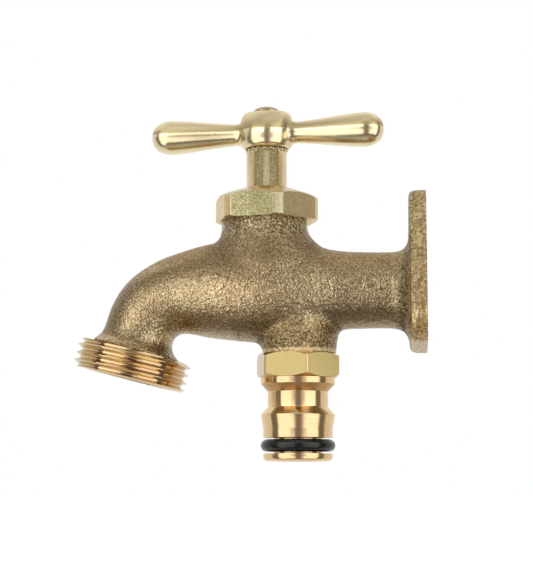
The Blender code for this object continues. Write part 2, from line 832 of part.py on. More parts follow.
def arm_profile(steps=6, tip_steps=5):
    """(radius, distance out) along one arm, from inside the hub to the rounded tip."""
    points = [(2.9, 3.0), (2.9, 5.6), (2.62, 6.4), (ARM_ROOT_R, ARM_ROOT_X)]
    for i in range(1, steps + 1):
        t = i / steps
        swell = math.sin(t * math.pi / 2.0) ** 1.15 * (0.55 + 0.45 * t)
        radius = ARM_ROOT_R + (ARM_BULB_R - ARM_ROOT_R) * swell
        points.append((radius, ARM_ROOT_X + (ARM_BULB_X - ARM_ROOT_X) * t))
    for i in range(1, tip_steps):
        angle = 0.5 * math.pi * i / tip_steps
        radius = ARM_BULB_R * math.cos(angle) ** 0.8
        points.append((radius, ARM_BULB_X + (ARM_TIP_X - ARM_BULB_X) * math.sin(angle)))
    points.append((0.35, ARM_TIP_X))
    return points


def build_handle():
    """A hub over the spline, with one arm on each side."""
    hub = (
        (5.1, HUB_BOTTOM_Z),
        (5.75, HUB_BOTTOM_Z + 0.5),
        (6.1, HUB_BOTTOM_Z + 1.5),
        (6.22, HUB_BOTTOM_Z + 3.0),
        (6.22, HUB_BOTTOM_Z + 4.8),
        (6.1, HUB_BOTTOM_Z + 6.0),
        (5.95, HUB_BOTTOM_Z + 7.0),
        (5.55, HUB_BOTTOM_Z + 7.8),
        (4.8, HUB_TOP_Z - 0.15),
        (3.9, HUB_TOP_Z),
    )
    bore = (
        (SPINDLE_R + GAP + 0.1, HUB_BOTTOM_Z - 2.0),
        (SPINDLE_R + GAP + 0.1, HUB_BOTTOM_Z),
        (SPLINE_TIP_R + GAP, HUB_BOTTOM_Z + 0.3),
        (SPLINE_TIP_R + GAP, SPLINE_TOP_Z + 0.4),
        (HANDLE_SCREW_HOLE_R, SPLINE_TOP_Z + 0.4),
        (HANDLE_SCREW_HOLE_R, HUB_TOP_Z + 2.0),
    )
    place = dict(yaw=HANDLE_YAW, **spindle_place)
    handle = add_object("handle", turned(hub, 30), material=handle_brass, **place)
    for side, angle in (("right", 0.0), ("left", 180.0)):
        arm = turned_by(moved(on_x(turned(arm_profile(), 18)), z=ARM_AXIS_Z), angle)
        combine(handle, "UNION", "arm_blank_" + side, arm, "EXACT", **place)
    combine(handle, "DIFFERENCE", "cut_hub_bore", turned(bore, 32), "EXACT", **place)


def build_handle_screw():
    """A slotted screw with a domed head, just clear of the hub."""
    profile = (
        (HANDLE_SCREW_R - 0.3, 30.0),
        (HANDLE_SCREW_R, 30.4),
        (HANDLE_SCREW_R, HUB_TOP_Z + GAP),
        (2.9, HUB_TOP_Z + GAP),
        (3.0, HUB_TOP_Z + GAP + 0.2),
        (2.75, HUB_TOP_Z + 0.85),
        (2.0, HUB_TOP_Z + 1.3),
        (1.0, HUB_TOP_Z + 1.55),
        (0.3, HUB_TOP_Z + 1.6),
    )
    screw = add_object("handle_screw", turned(profile, 28), material=screw_brass, **spindle_place)
    slot = box(-4.0, 4.0, -SLOT_HALF_WIDTH, SLOT_HALF_WIDTH, HUB_TOP_Z + 0.9, HUB_TOP_Z + 3.0)
    combine(
        screw, "DIFFERENCE", "cut_screw_slot", slot, "EXACT", yaw=SLOT_YAW, **spindle_place
    )


# ------------------------------------------------------------------ hose connector

def build_hose_connector():
    """A hexagon with a grooved spigot below, a plain thread above and a bore right through."""
    chamfer = (
        (HEX_END_R, HEX_BOTTOM_Z),
        (HEX_CORNER_R, HEX_BOTTOM_Z + HEX_CHAMFER),
        (HEX_CORNER_R, HEX_TOP_Z - HEX_CHAMFER),
        (HEX_END_R, HEX_TOP_Z),
    )
    spigot = (
        (SPIGOT_R - 1.1, CONNECTOR_TIP_Z),
        (SPIGOT_R - 0.5, CONNECTOR_TIP_Z + 0.16),
        (SPIGOT_R - 0.13, CONNECTOR_TIP_Z + 0.5),
        (SPIGOT_R, CONNECTOR_TIP_Z + 1.0),
        (SPIGOT_R, RING_GROOVE_BOTTOM_Z),
        (RING_GROOVE_R, RING_GROOVE_BOTTOM_Z),
        (RING_GROOVE_R, RING_GROOVE_TOP_Z),
        (SPIGOT_R, RING_GROOVE_TOP_Z),
        (SPIGOT_R, -31.4),
        (COLLAR_R, -28.25),
        (CONNECTOR_NECK_R, -26.5),
        (CONNECTOR_NECK_R, -23.0),
        (COLLAR_R, -21.25),
        (COLLAR_R, HEX_BOTTOM_Z + 0.4),
        (7.0, HEX_BOTTOM_Z + 1.2),
    )
    thread = (
        (CONNECTOR_THREAD_R - 0.6, HEX_TOP_Z - 2.0),
        (CONNECTOR_THREAD_R - 0.6, HEX_TOP_Z + 0.6),
        (CONNECTOR_THREAD_R, HEX_TOP_Z + 1.1),
        (CONNECTOR_THREAD_R, CONNECTOR_END_Z - 0.5),
        (CONNECTOR_THREAD_R - 0.5, CONNECTOR_END_Z),
    )
    bore = (
        (CONNECTOR_BORE_R + 0.6, CONNECTOR_TIP_Z - 2.0),
        (CONNECTOR_BORE_R + 0.6, CONNECTOR_TIP_Z),
        (CONNECTOR_BORE_R, CONNECTOR_TIP_Z + 0.6),
        (CONNECTOR_BORE_R, CONNECTOR_END_Z + 2.0),
    )
    connector = add_object(
        "hose_connector",
        prism(hexagon(HEX_FLATS), HEX_BOTTOM_Z, HEX_TOP_Z),
        material=turned_brass,
        yaw=HEX_YAW,
        sharp=20.0,
        **inlet_place,
    )
    for operation, name, profile, seg in (
        ("INTERSECT", "hex_chamfer", chamfer, 48),
        ("UNION", "spigot_blank", spigot, 34),
        ("UNION", "connector_thread", thread, 40),
        ("DIFFERENCE", "cut_connector_bore", bore, 32),
    ):
        combine(connector, operation, name, turned(profile, seg), "EXACT", **inlet_place)


def build_o_ring():
    add_object(
        "connector_o_ring",
        wire_ring(RING_CENTRE_R, RING_WIRE_R, around=32, seg=10),
        material=seal_rubber,
        location=(INLET_X, 0.0, RING_Z),
        parent=inlet_axis,
    )


def build_gasket():
    """A flat ring above the connector's upper end."""
    profile = (
        (CONNECTOR_BORE_R, GASKET_BOTTOM_Z),
        (BOSS_BORE_R - GAP, GASKET_BOTTOM_Z),
        (BOSS_BORE_R - GAP, GASKET_TOP_Z),
        (CONNECTOR_BORE_R, GASKET_TOP_Z),
    )
    shape = turned(profile, 24, closed=True)
    add_object("connector_gasket", shape, material=gasket_fibre, **inlet_place)


# ------------------------------------------------------------------ build

clear_scene()

cast_brass = make_material(
    "cast_brass", colour=(0.47, 0.36, 0.20), metallic=0.9, roughness=0.48)
turned_brass = make_material(
    "turned_brass", colour=(0.86, 0.65, 0.37), metallic=1.0, roughness=0.22)
nut_brass = make_material(
    "nut_brass", colour=(0.72, 0.62, 0.36), metallic=1.0, roughness=0.30)
handle_brass = make_material(
    "handle_brass", colour=(0.80, 0.68, 0.42), metallic=1.0, roughness=0.27)
spindle_brass = make_material(
    "spindle_brass", colour=(0.70, 0.60, 0.38), metallic=1.0, roughness=0.36)
screw_brass = make_material(
    "screw_brass", colour=(0.55, 0.46, 0.33), metallic=1.0, roughness=0.35)
seal_rubber = make_material(
    "seal_rubber", colour=(0.02, 0.021, 0.022), metallic=0.0, roughness=0.38)
packing_fibre = make_material(
    "packing_fibre", colour=(0.10, 0.10, 0.105), metallic=0.0, roughness=0.70)
gasket_fibre = make_material(
    "gasket_fibre", colour=(0.42, 0.13, 0.07), metallic=0.0, roughness=0.75)

wall_frame = add_empty("wall_frame", x=0.0, z=0.0)
valve_axis = add_empty("valve_axis", x=BONNET_X, z=SEAT_Z)
spindle_axis = add_empty("spindle_axis", x=BONNET_X, z=SPINDLE_FOOT_Z)
inlet_axis = add_empty("inlet_axis", x=INLET_X, z=BOSS_FACE_Z)

# where pieces and their helpers sit, and what they hang from
wall_place = dict(parent=wall_frame)
bonnet_place = dict(location=(BONNET_X, 0.0, 0.0), parent=wall_frame)
valve_place = dict(location=(BONNET_X, 0.0, 0.0), parent=valve_axis)
spindle_place = dict(location=(BONNET_X, 0.0, 0.0), parent=spindle_axis)
inlet_place = dict(location=(INLET_X, 0.0, 0.0), parent=inlet_axis)
outlet_place = dict(
    location=(OUTLET_END[0], 0.0, OUTLET_END[1]), lean=OUTLET_LEAN, parent=wall_frame)

build_body()
build_packing_nut()
build_gland()
build_spindle()
build_jumper()
build_seat_washer()
build_washer_nut()
build_retaining_ring()
build_handle()
build_handle_screw()
build_hose_connector()
build_o_ring()
build_gasket()
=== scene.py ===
"""Looks for the wall-mounted hose tap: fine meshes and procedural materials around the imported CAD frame.

Everything is modelled in millimetres and written to the frame in metres. The pieces that show are
rebuilt finely from the tap's own dimensions; the hidden pieces keep their CAD meshes.
"""

import math

import bmesh
import bpy
import numpy as np
from mathutils import Matrix, Vector, noise


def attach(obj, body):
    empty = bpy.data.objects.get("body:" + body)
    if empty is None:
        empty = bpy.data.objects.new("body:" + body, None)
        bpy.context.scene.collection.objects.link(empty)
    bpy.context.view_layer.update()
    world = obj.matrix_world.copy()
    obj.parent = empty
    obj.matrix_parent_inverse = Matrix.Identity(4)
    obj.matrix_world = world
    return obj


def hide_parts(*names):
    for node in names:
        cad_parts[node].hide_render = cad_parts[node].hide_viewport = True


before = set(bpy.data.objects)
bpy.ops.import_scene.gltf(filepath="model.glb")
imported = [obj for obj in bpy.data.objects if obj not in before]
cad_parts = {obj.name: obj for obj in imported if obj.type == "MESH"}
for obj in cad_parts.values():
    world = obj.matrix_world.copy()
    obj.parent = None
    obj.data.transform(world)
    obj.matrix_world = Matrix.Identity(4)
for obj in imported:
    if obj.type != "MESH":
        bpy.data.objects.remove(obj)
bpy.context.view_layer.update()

MM = 0.001

# ---- axes and faces, in millimetres, from the CAD ----
BONNET_X = -36.7
INLET_X = -29.55
OUTLET_END = (-68.6, -19.95)
OUTLET_LEAN = 14.48
PITCH = 25.4 / 14.0
MAJOR_R, MINOR_R = 26.441 / 2.0, 24.117 / 2.0
OUTLET_LENGTH = 6.6
OUTLET_START = 270.0
NECK_TOP_Z = 16.7
NECK_THREAD_R = 8.7
BOSS_FACE_Z = -14.2
EAR_PCD_R, EAR_R, EAR_ANGLES, SCREW_HOLE_R, FLANGE_T = 18.0, 5.3, (90.0, 206.0, 334.0), 2.25, 4.1
SCREW_PITCH, FOOT_Z, SCREW_TOP_Z = 2.0, 4.2, 10.4
VOXEL = 0.37
CAST, CUT, THREAD = 0, 1, 2

STATIONS = (
    (-2.0, 0.0, 0.0, 8.8, 8.8),
    (-14.0, 0.1, 0.0, 8.8, 8.8),
    (-20.0, 0.2, 0.0, 9.1, 9.2),
    (-27.0, 0.2, 0.0, 10.3, 10.8),
    (-33.0, 0.1, 0.0, 11.3, 12.0),
    (-38.0, 0.05, 0.0, 11.65, 12.4),
    (-44.0, 0.2, 0.0, 11.5, 12.0),
    (-50.0, 0.25, 1.0, 10.8, 11.1),
    (-56.1, -0.2, 7.0, 9.35, 9.9),
    (-59.7, -1.3, 18.0, 8.8, 9.4),
    (-63.0, -3.45, 36.0, 8.5, 9.0),
    (-64.9, -5.85, 52.0, 8.25, 8.7),
    (-65.9, -8.2, 65.0, 8.05, 8.3),
    (-66.4, -9.9, 74.0, 8.0, 8.1),
    (-66.8, -11.5, 75.5, 8.5, 8.5),
    (-67.0, -12.6, 75.5, 9.6, 9.6),
    (-67.1, -13.6, 75.5, 11.0, 11.0),
)


# ------------------------------------------------------------------ shapes


def temp(name, bm):
    """A working object in millimetres."""
    bmesh.ops.recalc_face_normals(bm, faces=bm.faces)
    mesh = bpy.data.meshes.new(name)
    bm.to_mesh(mesh)
    bm.free()
    obj = bpy.data.objects.new(name, mesh)
    bpy.context.scene.collection.objects.link(obj)
    return obj


def drop(*objects):
    for obj in objects:
        mesh = obj.data
        bpy.data.objects.remove(obj)
        if mesh.users == 0:
            bpy.data.meshes.remove(mesh)


def settle(obj):
    """Applies the object's modifiers."""
    graph = bpy.context.evaluated_depsgraph_get()
    mesh = bpy.data.meshes.new_from_object(obj.evaluated_get(graph), depsgraph=graph)
    obj.modifiers.clear()
    old = obj.data
    obj.data = mesh
    bpy.data.meshes.remove(old)
    return obj


def boolean(obj, bm, operation, solver="MANIFOLD"):
    """Joins a shape to an object, or cuts it away, and drops the shape."""
    other = temp("other", bm) if isinstance(bm, bmesh.types.BMesh) else bm
    mod = obj.modifiers.new("boolean", "BOOLEAN")
    mod.operation, mod.object, mod.solver = operation, other, solver
    settle(obj)
    drop(other)
    return obj


def bridge(bm, a, b):
    n = len(a)
    for i in range(n):
        j = (i + 1) % n
        bm.faces.new((a[i], a[j], b[j], b[i]))


def turned(profile, seg=96, closed=False, shape=None, phase=0.0):
    """Turned on +Z from (radius, z) points. shape(angle, radius, z) may change the radius. Radius 0 makes a pole."""
    bm = bmesh.new()
    angles = [phase + 2.0 * math.pi * i / seg for i in range(seg)]
    rings = []
    for r, z in profile:
        if r <= 1e-6:
            rings.append(bm.verts.new((0.0, 0.0, z)))
            continue
        ring = []
        for a in angles:
            rr = shape(a, r, z) if shape else r
            ring.append(bm.verts.new((rr * math.cos(a), rr * math.sin(a), z)))
        rings.append(ring)
    pairs = list(zip(rings, rings[1:]))
    if closed:
        pairs.append((rings[-1], rings[0]))
    for a, b in pairs:
        if isinstance(a, bmesh.types.BMVert):
            for i in range(seg):
                bm.faces.new((a, b[i], b[(i + 1) % seg]))
        elif isinstance(b, bmesh.types.BMVert):
            for i in range(seg):
                bm.faces.new((b, a[(i + 1) % seg], a[i]))
        else:
            bridge(bm, a, b)
    if not closed:
        for end in (rings[0], rings[-1]):
            if isinstance(end, list):
                bm.faces.new(end)
    return bm


def eased(points, ease, closed=False, steps=3):
    """Rounds the corners of a profile. A point may carry its own ease as a third number."""
    found = []
    last = len(points) - 1
    for k, point in enumerate(points):
        p = Vector(point[:2])
        e = point[2] if len(point) > 2 else ease
        if (not closed and k in (0, last)) or e <= 0.0:
            found.append(tuple(p))
            continue
        a, b = Vector(points[k - 1][:2]), Vector(points[(k + 1) % len(points)][:2])
        da, db = a - p, b - p
        if da.length < 1e-6 or db.length < 1e-6:
            found.append(tuple(p))
            continue
        pa = p + da.normalized() * min(e, 0.42 * da.length)
        pb = p + db.normalized() * min(e, 0.42 * db.length)
        for s in range(steps + 1):
            t = s / steps
            found.append(tuple(pa * (1 - t) ** 2 + p * 2 * t * (1 - t) + pb * t * t))
    return found


def dense(points, step, closed=False):
    """Splits the long spans of a profile."""
    found = []
    spans = list(zip(points, points[1:] + points[:1] if closed else points[1:]))
    for a, b in spans:
        n = max(1, int(math.ceil(math.dist(a, b) / step)))
        found += [(a[0] + (b[0] - a[0]) * s / n, a[1] + (b[1] - a[1]) * s / n) for s in range(n)]
    if not closed:
        found.append(tuple(points[-1]))
    return found


def soft_min(a, b, k):
    h = min(max(0.5 + 0.5 * (b - a) / k, 0.0), 1.0)
    return b + (a - b) * h - k * h * (1.0 - h)


def hexed(flats, first_normal, corner_r=1e9, k=0.12, low=-1e9, high=1e9):
    """A radius rule that keeps a turned shape inside a hexagon's flats."""

    def rule(a, r, z):
        if not low <= z <= high:
            return r
        off = (a - first_normal + math.pi / 6.0) % (math.pi / 3.0) - math.pi / 6.0
        return soft_min(min(r, corner_r), 0.5 * flats / math.cos(off), k)

    return rule


def box(x0, x1, y0, y1, z0, z1):
    bm = bmesh.new()
    low = [bm.verts.new(p) for p in ((x0, y0, z0), (x1, y0, z0), (x1, y1, z0), (x0, y1, z0))]
    high = [bm.verts.new(p) for p in ((x0, y0, z1), (x1, y0, z1), (x1, y1, z1), (x0, y1, z1))]
    bridge(bm, low, high)
    bm.faces.new(low)
    bm.faces.new(high)
    return bm


def screw_rod(points_in_pitch, pitch, z0, z1, seg):
    """A right-hand screw. points_in_pitch holds (offset along the axis, radius) over one pitch."""
    turns = int(math.ceil((z1 - z0) / pitch)) + 2
    points = [(r, z0 - pitch + pitch * k + dz) for k in range(turns + 1) for dz, r in points_in_pitch]
    per_turn = len(points_in_pitch)
    bm = bmesh.new()
    columns = []
    for i in range(seg):
        a = 2.0 * math.pi * i / seg
        lift = pitch * i / seg
        columns.append([bm.verts.new((r * math.cos(a), r * math.sin(a), z + lift)) for r, z in points])
    rows = len(points) - per_turn - 1
    for i in range(seg):
        here, there = columns[i], columns[(i + 1) % seg]
        shift = per_turn if i == seg - 1 else 0
        for j in range(rows):
            bm.faces.new((here[j], there[j + shift], there[j + 1 + shift], here[j + 1]))
    foot = bm.verts.new((0.0, 0.0, points[0][1] - 0.3 * pitch))
    head = bm.verts.new((0.0, 0.0, points[rows][1] + 1.3 * pitch))
    low = [columns[i][0] for i in range(seg)] + [columns[0][j] for j in range(per_turn, 0, -1)]
    high = [columns[i][rows] for i in range(seg)] + [columns[0][rows + j] for j in range(per_turn, 0, -1)]
    for loop, tip in ((low, foot), (high, head)):
        for a, b in zip(loop, loop[1:] + loop[:1]):
            bm.faces.new((a, b, tip))
    return bm


def trapezoid(minor, major, root_half, crest_half):
    return ((-root_half, minor), (-crest_half, major), (crest_half, major), (root_half, minor))


def smooth_stations(stations, per_span):
    found = []
    last = len(stations) - 1
    for k in range(last):
        p0, p1 = stations[max(k - 1, 0)], stations[k]
        p2, p3 = stations[k + 1], stations[min(k + 2, last)]
        for s in range(per_span):
            t = s / per_span
            found.append(
                tuple(
                    0.5 * (2 * b + (c - a) * t + (2 * a - 5 * b + 4 * c - d) * t * t + (3 * b - a - 3 * c + d) * t**3)
                    for a, b, c, d in zip(p0, p1, p2, p3)
                )
            )
    found.append(stations[last])
    return found


def lofted(stations, seg):
    bm = bmesh.new()
    rings = []
    for x, z, lean, half_height, half_width in stations:
        t = math.radians(lean)
        ring = []
        for i in range(seg):
            a = 2.0 * math.pi * i / seg
            h, w = half_height * math.cos(a), half_width * math.sin(a)
            ring.append(bm.verts.new((x - math.sin(t) * h, w, z + math.cos(t) * h)))
        rings.append(ring)
    for a, b in zip(rings, rings[1:]):
        bridge(bm, a, b)
    bm.faces.new(rings[0])
    bm.faces.new(rings[-1])
    return bm


def risen(stations, seg):
    bm = bmesh.new()
    rings = [
        [
            bm.verts.new((x + hx * math.cos(a), hy * math.sin(a), z))
            for a in (2.0 * math.pi * i / seg for i in range(seg))
        ]
        for z, x, hx, hy in stations
    ]
    for a, b in zip(rings, rings[1:]):
        bridge(bm, a, b)
    bm.faces.new(rings[0])
    bm.faces.new(rings[-1])
    return bm


def placed(bm, x=0.0, y=0.0, z=0.0, yaw=0.0, lean=0.0):
    matrix = Matrix.Translation((x, y, z)) @ Matrix.Rotation(math.radians(yaw), 4, "Z") @ Matrix.Rotation(math.radians(lean), 4, "Y")
    bmesh.ops.transform(bm, matrix=matrix, verts=bm.verts)
    return bm


def along_x(bm):
    return placed(bm, lean=90.0)


def at_outlet(bm):
    return placed(bm, x=OUTLET_END[0], z=OUTLET_END[1], lean=OUTLET_LEAN)


def ear_points(seg=20):
    points = []
    for angle in EAR_ANGLES:
        cy, cz = EAR_PCD_R * math.cos(math.radians(angle)), EAR_PCD_R * math.sin(math.radians(angle))
        for i in range(seg + 1):
            a = math.radians(angle - 60.0 + 120.0 * i / seg)
            points.append((cy + EAR_R * math.cos(a), cz + EAR_R * math.sin(a)))
    return points


def flange_blank():
    bm = bmesh.new()
    near = [bm.verts.new((-FLANGE_T, y, z)) for y, z in ear_points()]
    far = [bm.verts.new((2.0, y, z)) for y, z in ear_points()]
    bridge(bm, near, far)
    bm.faces.new(near)
    bm.faces.new(far)
    return bm


def finish_piece(obj, name, body, nodes, materials, sharp=38.0):
    """Writes a working object in millimetres to the frame in metres, and sets it on its body."""
    obj.name = name
    obj.data.name = name
    obj.data.transform(Matrix.Scale(MM, 4))
    obj.data.shade_smooth()
    obj.data.set_sharp_from_angle(angle=math.radians(sharp))
    kinds = np.zeros(len(obj.data.polygons), np.int32)
    obj.data.polygons.foreach_get("material_index", kinds)
    obj.data.materials.clear()
    for mat in materials:
        obj.data.materials.append(mat)
    obj.data.polygons.foreach_set("material_index", np.minimum(kinds, len(materials) - 1))
    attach(obj, body)
    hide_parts(*nodes)
    return obj


# ------------------------------------------------------------------ node helpers


def put(node, key, value):
    socket = node.inputs[key]
    if isinstance(value, bpy.types.NodeSocket):
        node.id_data.links.new(value, socket)
    elif isinstance(value, (tuple, list)) and len(value) == 3 and len(socket.default_value) == 4:
        socket.default_value = (*value, 1.0)
    else:
        socket.default_value = value


def calc(tree, operation, a, b=None, c=None, clamp=False):
    node = tree.nodes.new("ShaderNodeMath")
    node.operation = operation
    node.use_clamp = clamp
    for i, value in enumerate((a, b, c)):
        if value is not None:
            put(node, i, value)
    return node.outputs[0]


def remap(tree, value, a, b, c=0.0, d=1.0, smooth=True):
    node = tree.nodes.new("ShaderNodeMapRange")
    node.interpolation_type = "SMOOTHSTEP" if smooth else "LINEAR"
    for key, v in (("Value", value), ("From Min", a), ("From Max", b), ("To Min", c), ("To Max", d)):
        put(node, key, v)
    return node.outputs[0]


def blend(tree, factor, a, b, mode="MIX", clamp=False):
    node = tree.nodes.new("ShaderNodeMix")
    node.data_type = "RGBA"
    node.blend_type = mode
    node.clamp_result = clamp
    put(node, 0, factor)
    put(node, 6, a)
    put(node, 7, b)
    return node.outputs[2]


def ramp(tree, factor, stops, interpolation="LINEAR"):
    node = tree.nodes.new("ShaderNodeValToRGB")
    node.color_ramp.interpolation = interpolation
    elements = node.color_ramp.elements
    while len(elements) > 1:
        elements.remove(elements[-1])
    for k, (position, colour) in enumerate(stops):
        element = elements[0] if k == 0 else elements.new(position)
        element.position = position
        element.color = (*colour, 1.0) if isinstance(colour, tuple) else (colour, colour, colour, 1.0)
    put(node, 0, factor)
    return node.outputs[0]


def grain(tree, vector, scale, detail=2.0, rough=0.5, distortion=0.0):
    node = tree.nodes.new("ShaderNodeTexNoise")
    put(node, "Vector", vector)
    put(node, "Scale", scale)
    put(node, "Detail", detail)
    put(node, "Roughness", rough)
    put(node, "Distortion", distortion)
    return node.outputs["Fac"]


def cells(tree, vector, scale, feature="F1"):
    node = tree.nodes.new("ShaderNodeTexVoronoi")
    node.feature = feature
    put(node, "Vector", vector)
    put(node, "Scale", scale)
    return node.outputs["Distance"]


def relief(tree, height, distance, strength=1.0, normal=None):
    node = tree.nodes.new("ShaderNodeBump")
    put(node, "Height", height)
    put(node, "Distance", distance * MM)
    put(node, "Strength", strength)
    if normal is not None:
        put(node, "Normal", normal)
    return node.outputs[0]


def millimetres(tree, axis=None):
    """Object coordinates in millimetres, from a turned piece's own axis if one is given."""
    coords = tree.nodes.new("ShaderNodeTexCoord")
    node = tree.nodes.new("ShaderNodeVectorMath")
    node.operation = "SCALE"
    put(node, 0, coords.outputs["Object"])
    put(node, "Scale", 1.0 / MM)
    if axis is None:
        return node.outputs[0]
    move = tree.nodes.new("ShaderNodeVectorMath")
    move.operation = "SUBTRACT"
    put(move, 0, node.outputs[0])
    put(move, 1, axis)
    return move.outputs[0]


def start_material(name):
    mat = bpy.data.materials.new(name)
    mat.use_nodes = True
    tree = mat.node_tree
    return mat, tree, tree.nodes["Principled BSDF"]


# ------------------------------------------------------------------ materials


def cast_brass():
    """Sand-cast skin: sparkling grain, brown in the pits, a little lumpy at a larger scale."""
    mat, tree, shader = start_material("cast_brass_skin")
    mm = millimetres(tree)
    split = tree.nodes.new("ShaderNodeSeparateXYZ")
    put(split, 0, mm)
    x, y, z = split.outputs[0], split.outputs[1], split.outputs[2]
    geometry = tree.nodes.new("ShaderNodeNewGeometry")
    turn = tree.nodes.new("ShaderNodeSeparateXYZ")
    put(turn, 0, geometry.outputs["True Normal"])
    facing_down = turn.outputs[2]
    fine = grain(tree, mm, 2.7, 1.0, 0.5)
    middle = grain(tree, mm, 1.3, 1.0, 0.5)
    coarse = grain(tree, mm, 1.6, 2.0, 0.6, 0.6)
    pits = cells(tree, mm, 1.9)
    lumps = grain(tree, mm, 0.32, 2.0, 0.5)
    patches = grain(tree, mm, 0.11, 2.0, 0.5)
    # rough, wrinkled places: under the packing nut, on the inlet boss, in the flange's root
    wrinkled = calc(tree, "MAXIMUM", remap(tree, z, 9.5, 13.5), calc(tree, "MULTIPLY", remap(tree, z, -7.5, -11.0), remap(tree, x, -45.0, -42.0)))
    root = calc(tree, "MULTIPLY", remap(tree, x, -8.5, -5.5), remap(tree, x, -3.7, -4.1))
    wrinkled = calc(tree, "MAXIMUM", wrinkled, root)
    # the flange's rim is dressed: smoother and yellower than the skin
    rim = remap(tree, x, -3.75, -3.5)
    stretched = tree.nodes.new("ShaderNodeMapping")
    put(stretched, 0, mm)
    stretched.inputs["Scale"].default_value = (1.5, 0.5, 0.45)
    streaks = grain(tree, stretched.outputs[0], 1.0, 4.0, 0.7)
    mottle = calc(tree, "ADD", calc(tree, "MULTIPLY", streaks, 0.55), calc(tree, "MULTIPLY", middle, 0.45))
    colour = ramp(tree, fine, ((0.30, (0.245, 0.175, 0.09)), (0.48, (0.485, 0.375, 0.215)), (0.62, (0.72, 0.60, 0.375)), (0.74, (0.95, 0.86, 0.62))))
    colour = blend(tree, remap(tree, patches, 0.4, 0.62, 0.0, 0.3), colour, (0.36, 0.26, 0.14))
    colour = blend(tree, remap(tree, pits, 0.16, 0.02, 0.0, 0.5), colour, (0.20, 0.13, 0.055))
    colour = blend(tree, calc(tree, "MULTIPLY", wrinkled, remap(tree, coarse, 0.46, 0.60, 0.0, 0.9)), colour, (1.0, 0.88, 0.58))
    colour = blend(tree, calc(tree, "MULTIPLY", wrinkled, remap(tree, coarse, 0.46, 0.33, 0.0, 0.75)), colour, (0.20, 0.115, 0.04))
    golden = ramp(tree, mottle, ((0.38, (0.24, 0.14, 0.05)), (0.5, (0.52, 0.365, 0.165)), (0.60, (0.93, 0.75, 0.43))))
    colour = blend(tree, calc(tree, "MULTIPLY", rim, 0.75), colour, golden)
    speckle = grain(tree, mm, 4.6, 0.0, 0.5)
    colour = blend(tree, remap(tree, speckle, 0.40, 0.62, 0.34, 0.0), colour, (0.16, 0.105, 0.05))
    # painted shade: darker and browner where the skin faces up or out along the spout, and darker on the underside;
    # painted highlight: paler along the middle band and on the upward tops, set just below; the grain shows through
    skin = calc(tree, "SUBTRACT", 1.0, rim)
    up = calc(tree, "MULTIPLY", remap(tree, facing_down, -0.08, 0.30), remap(tree, facing_down, 0.50, 0.78, 1.0, 0.1))
    up = calc(tree, "MULTIPLY", up, remap(tree, x, -24.0, -31.0, 0.58, 0.78))
    out = calc(tree, "MULTIPLY", remap(tree, turn.outputs[0], -0.22, -0.56), remap(tree, turn.outputs[0], -0.96, -0.82, 0.25, 1.0))
    # painted highlight: the middle band beside the bonnet, weaker along the spout, and the upward tops of the spout
    # and arm are lightened
    side_highlight = calc(tree, "MULTIPLY", remap(tree, facing_down, 0.14, -0.06), remap(tree, x, -30.0, -36.0))
    side_highlight = calc(tree, "MULTIPLY", side_highlight, calc(tree, "MULTIPLY", remap(tree, z, 7.5, 4.5), remap(tree, z, -9.5, -7.0)))
    crest = calc(tree, "MULTIPLY", remap(tree, facing_down, 0.46, 0.74), calc(tree, "MAXIMUM", remap(tree, x, -46.0, -52.0), remap(tree, x, -27.0, -21.0)))
    pale = calc(tree, "MAXIMUM", calc(tree, "MULTIPLY", side_highlight, remap(tree, x, -52.0, -46.0, 0.42, 0.62)), crest)
    colour = blend(tree, calc(tree, "MULTIPLY", pale, skin), colour, (1.52, 1.46, 1.40), "MULTIPLY", clamp=True)
    throat = calc(tree, "MULTIPLY", remap(tree, z, 2.5, 7.0), remap(tree, z, 13.6, 11.0))
    inlet = calc(tree, "MULTIPLY", remap(tree, z, -6.5, -9.0), remap(tree, x, -45.0, -42.0))
    brown = calc(tree, "MAXIMUM", up, calc(tree, "MULTIPLY", out, 0.85))
    brown = calc(tree, "MAXIMUM", brown, calc(tree, "MAXIMUM", calc(tree, "MULTIPLY", throat, 0.80), calc(tree, "MULTIPLY", inlet, 0.62)))
    colour = blend(tree, calc(tree, "MULTIPLY", brown, skin), colour, (0.52, 0.475, 0.42), "MULTIPLY")
    colour = blend(tree, calc(tree, "MULTIPLY", inlet, 0.7), colour, (1.0, 0.93, 0.76), "MULTIPLY")
    # painted shade on the underside of the skin, weaker towards the outlet
    under = calc(tree, "MULTIPLY", remap(tree, facing_down, -0.42, -0.70), remap(tree, facing_down, -0.97, -0.80))
    under = calc(tree, "MULTIPLY", under, remap(tree, x, -62.0, -50.0, 0.4, 1.0))
    colour = blend(tree, calc(tree, "MULTIPLY", calc(tree, "MULTIPLY", under, skin), 0.78), colour, (0.30, 0.26, 0.21), "MULTIPLY")
    put(shader, "Metallic", 0.96)
    rough = remap(tree, middle, 0.3, 0.7, 0.30, 0.20)
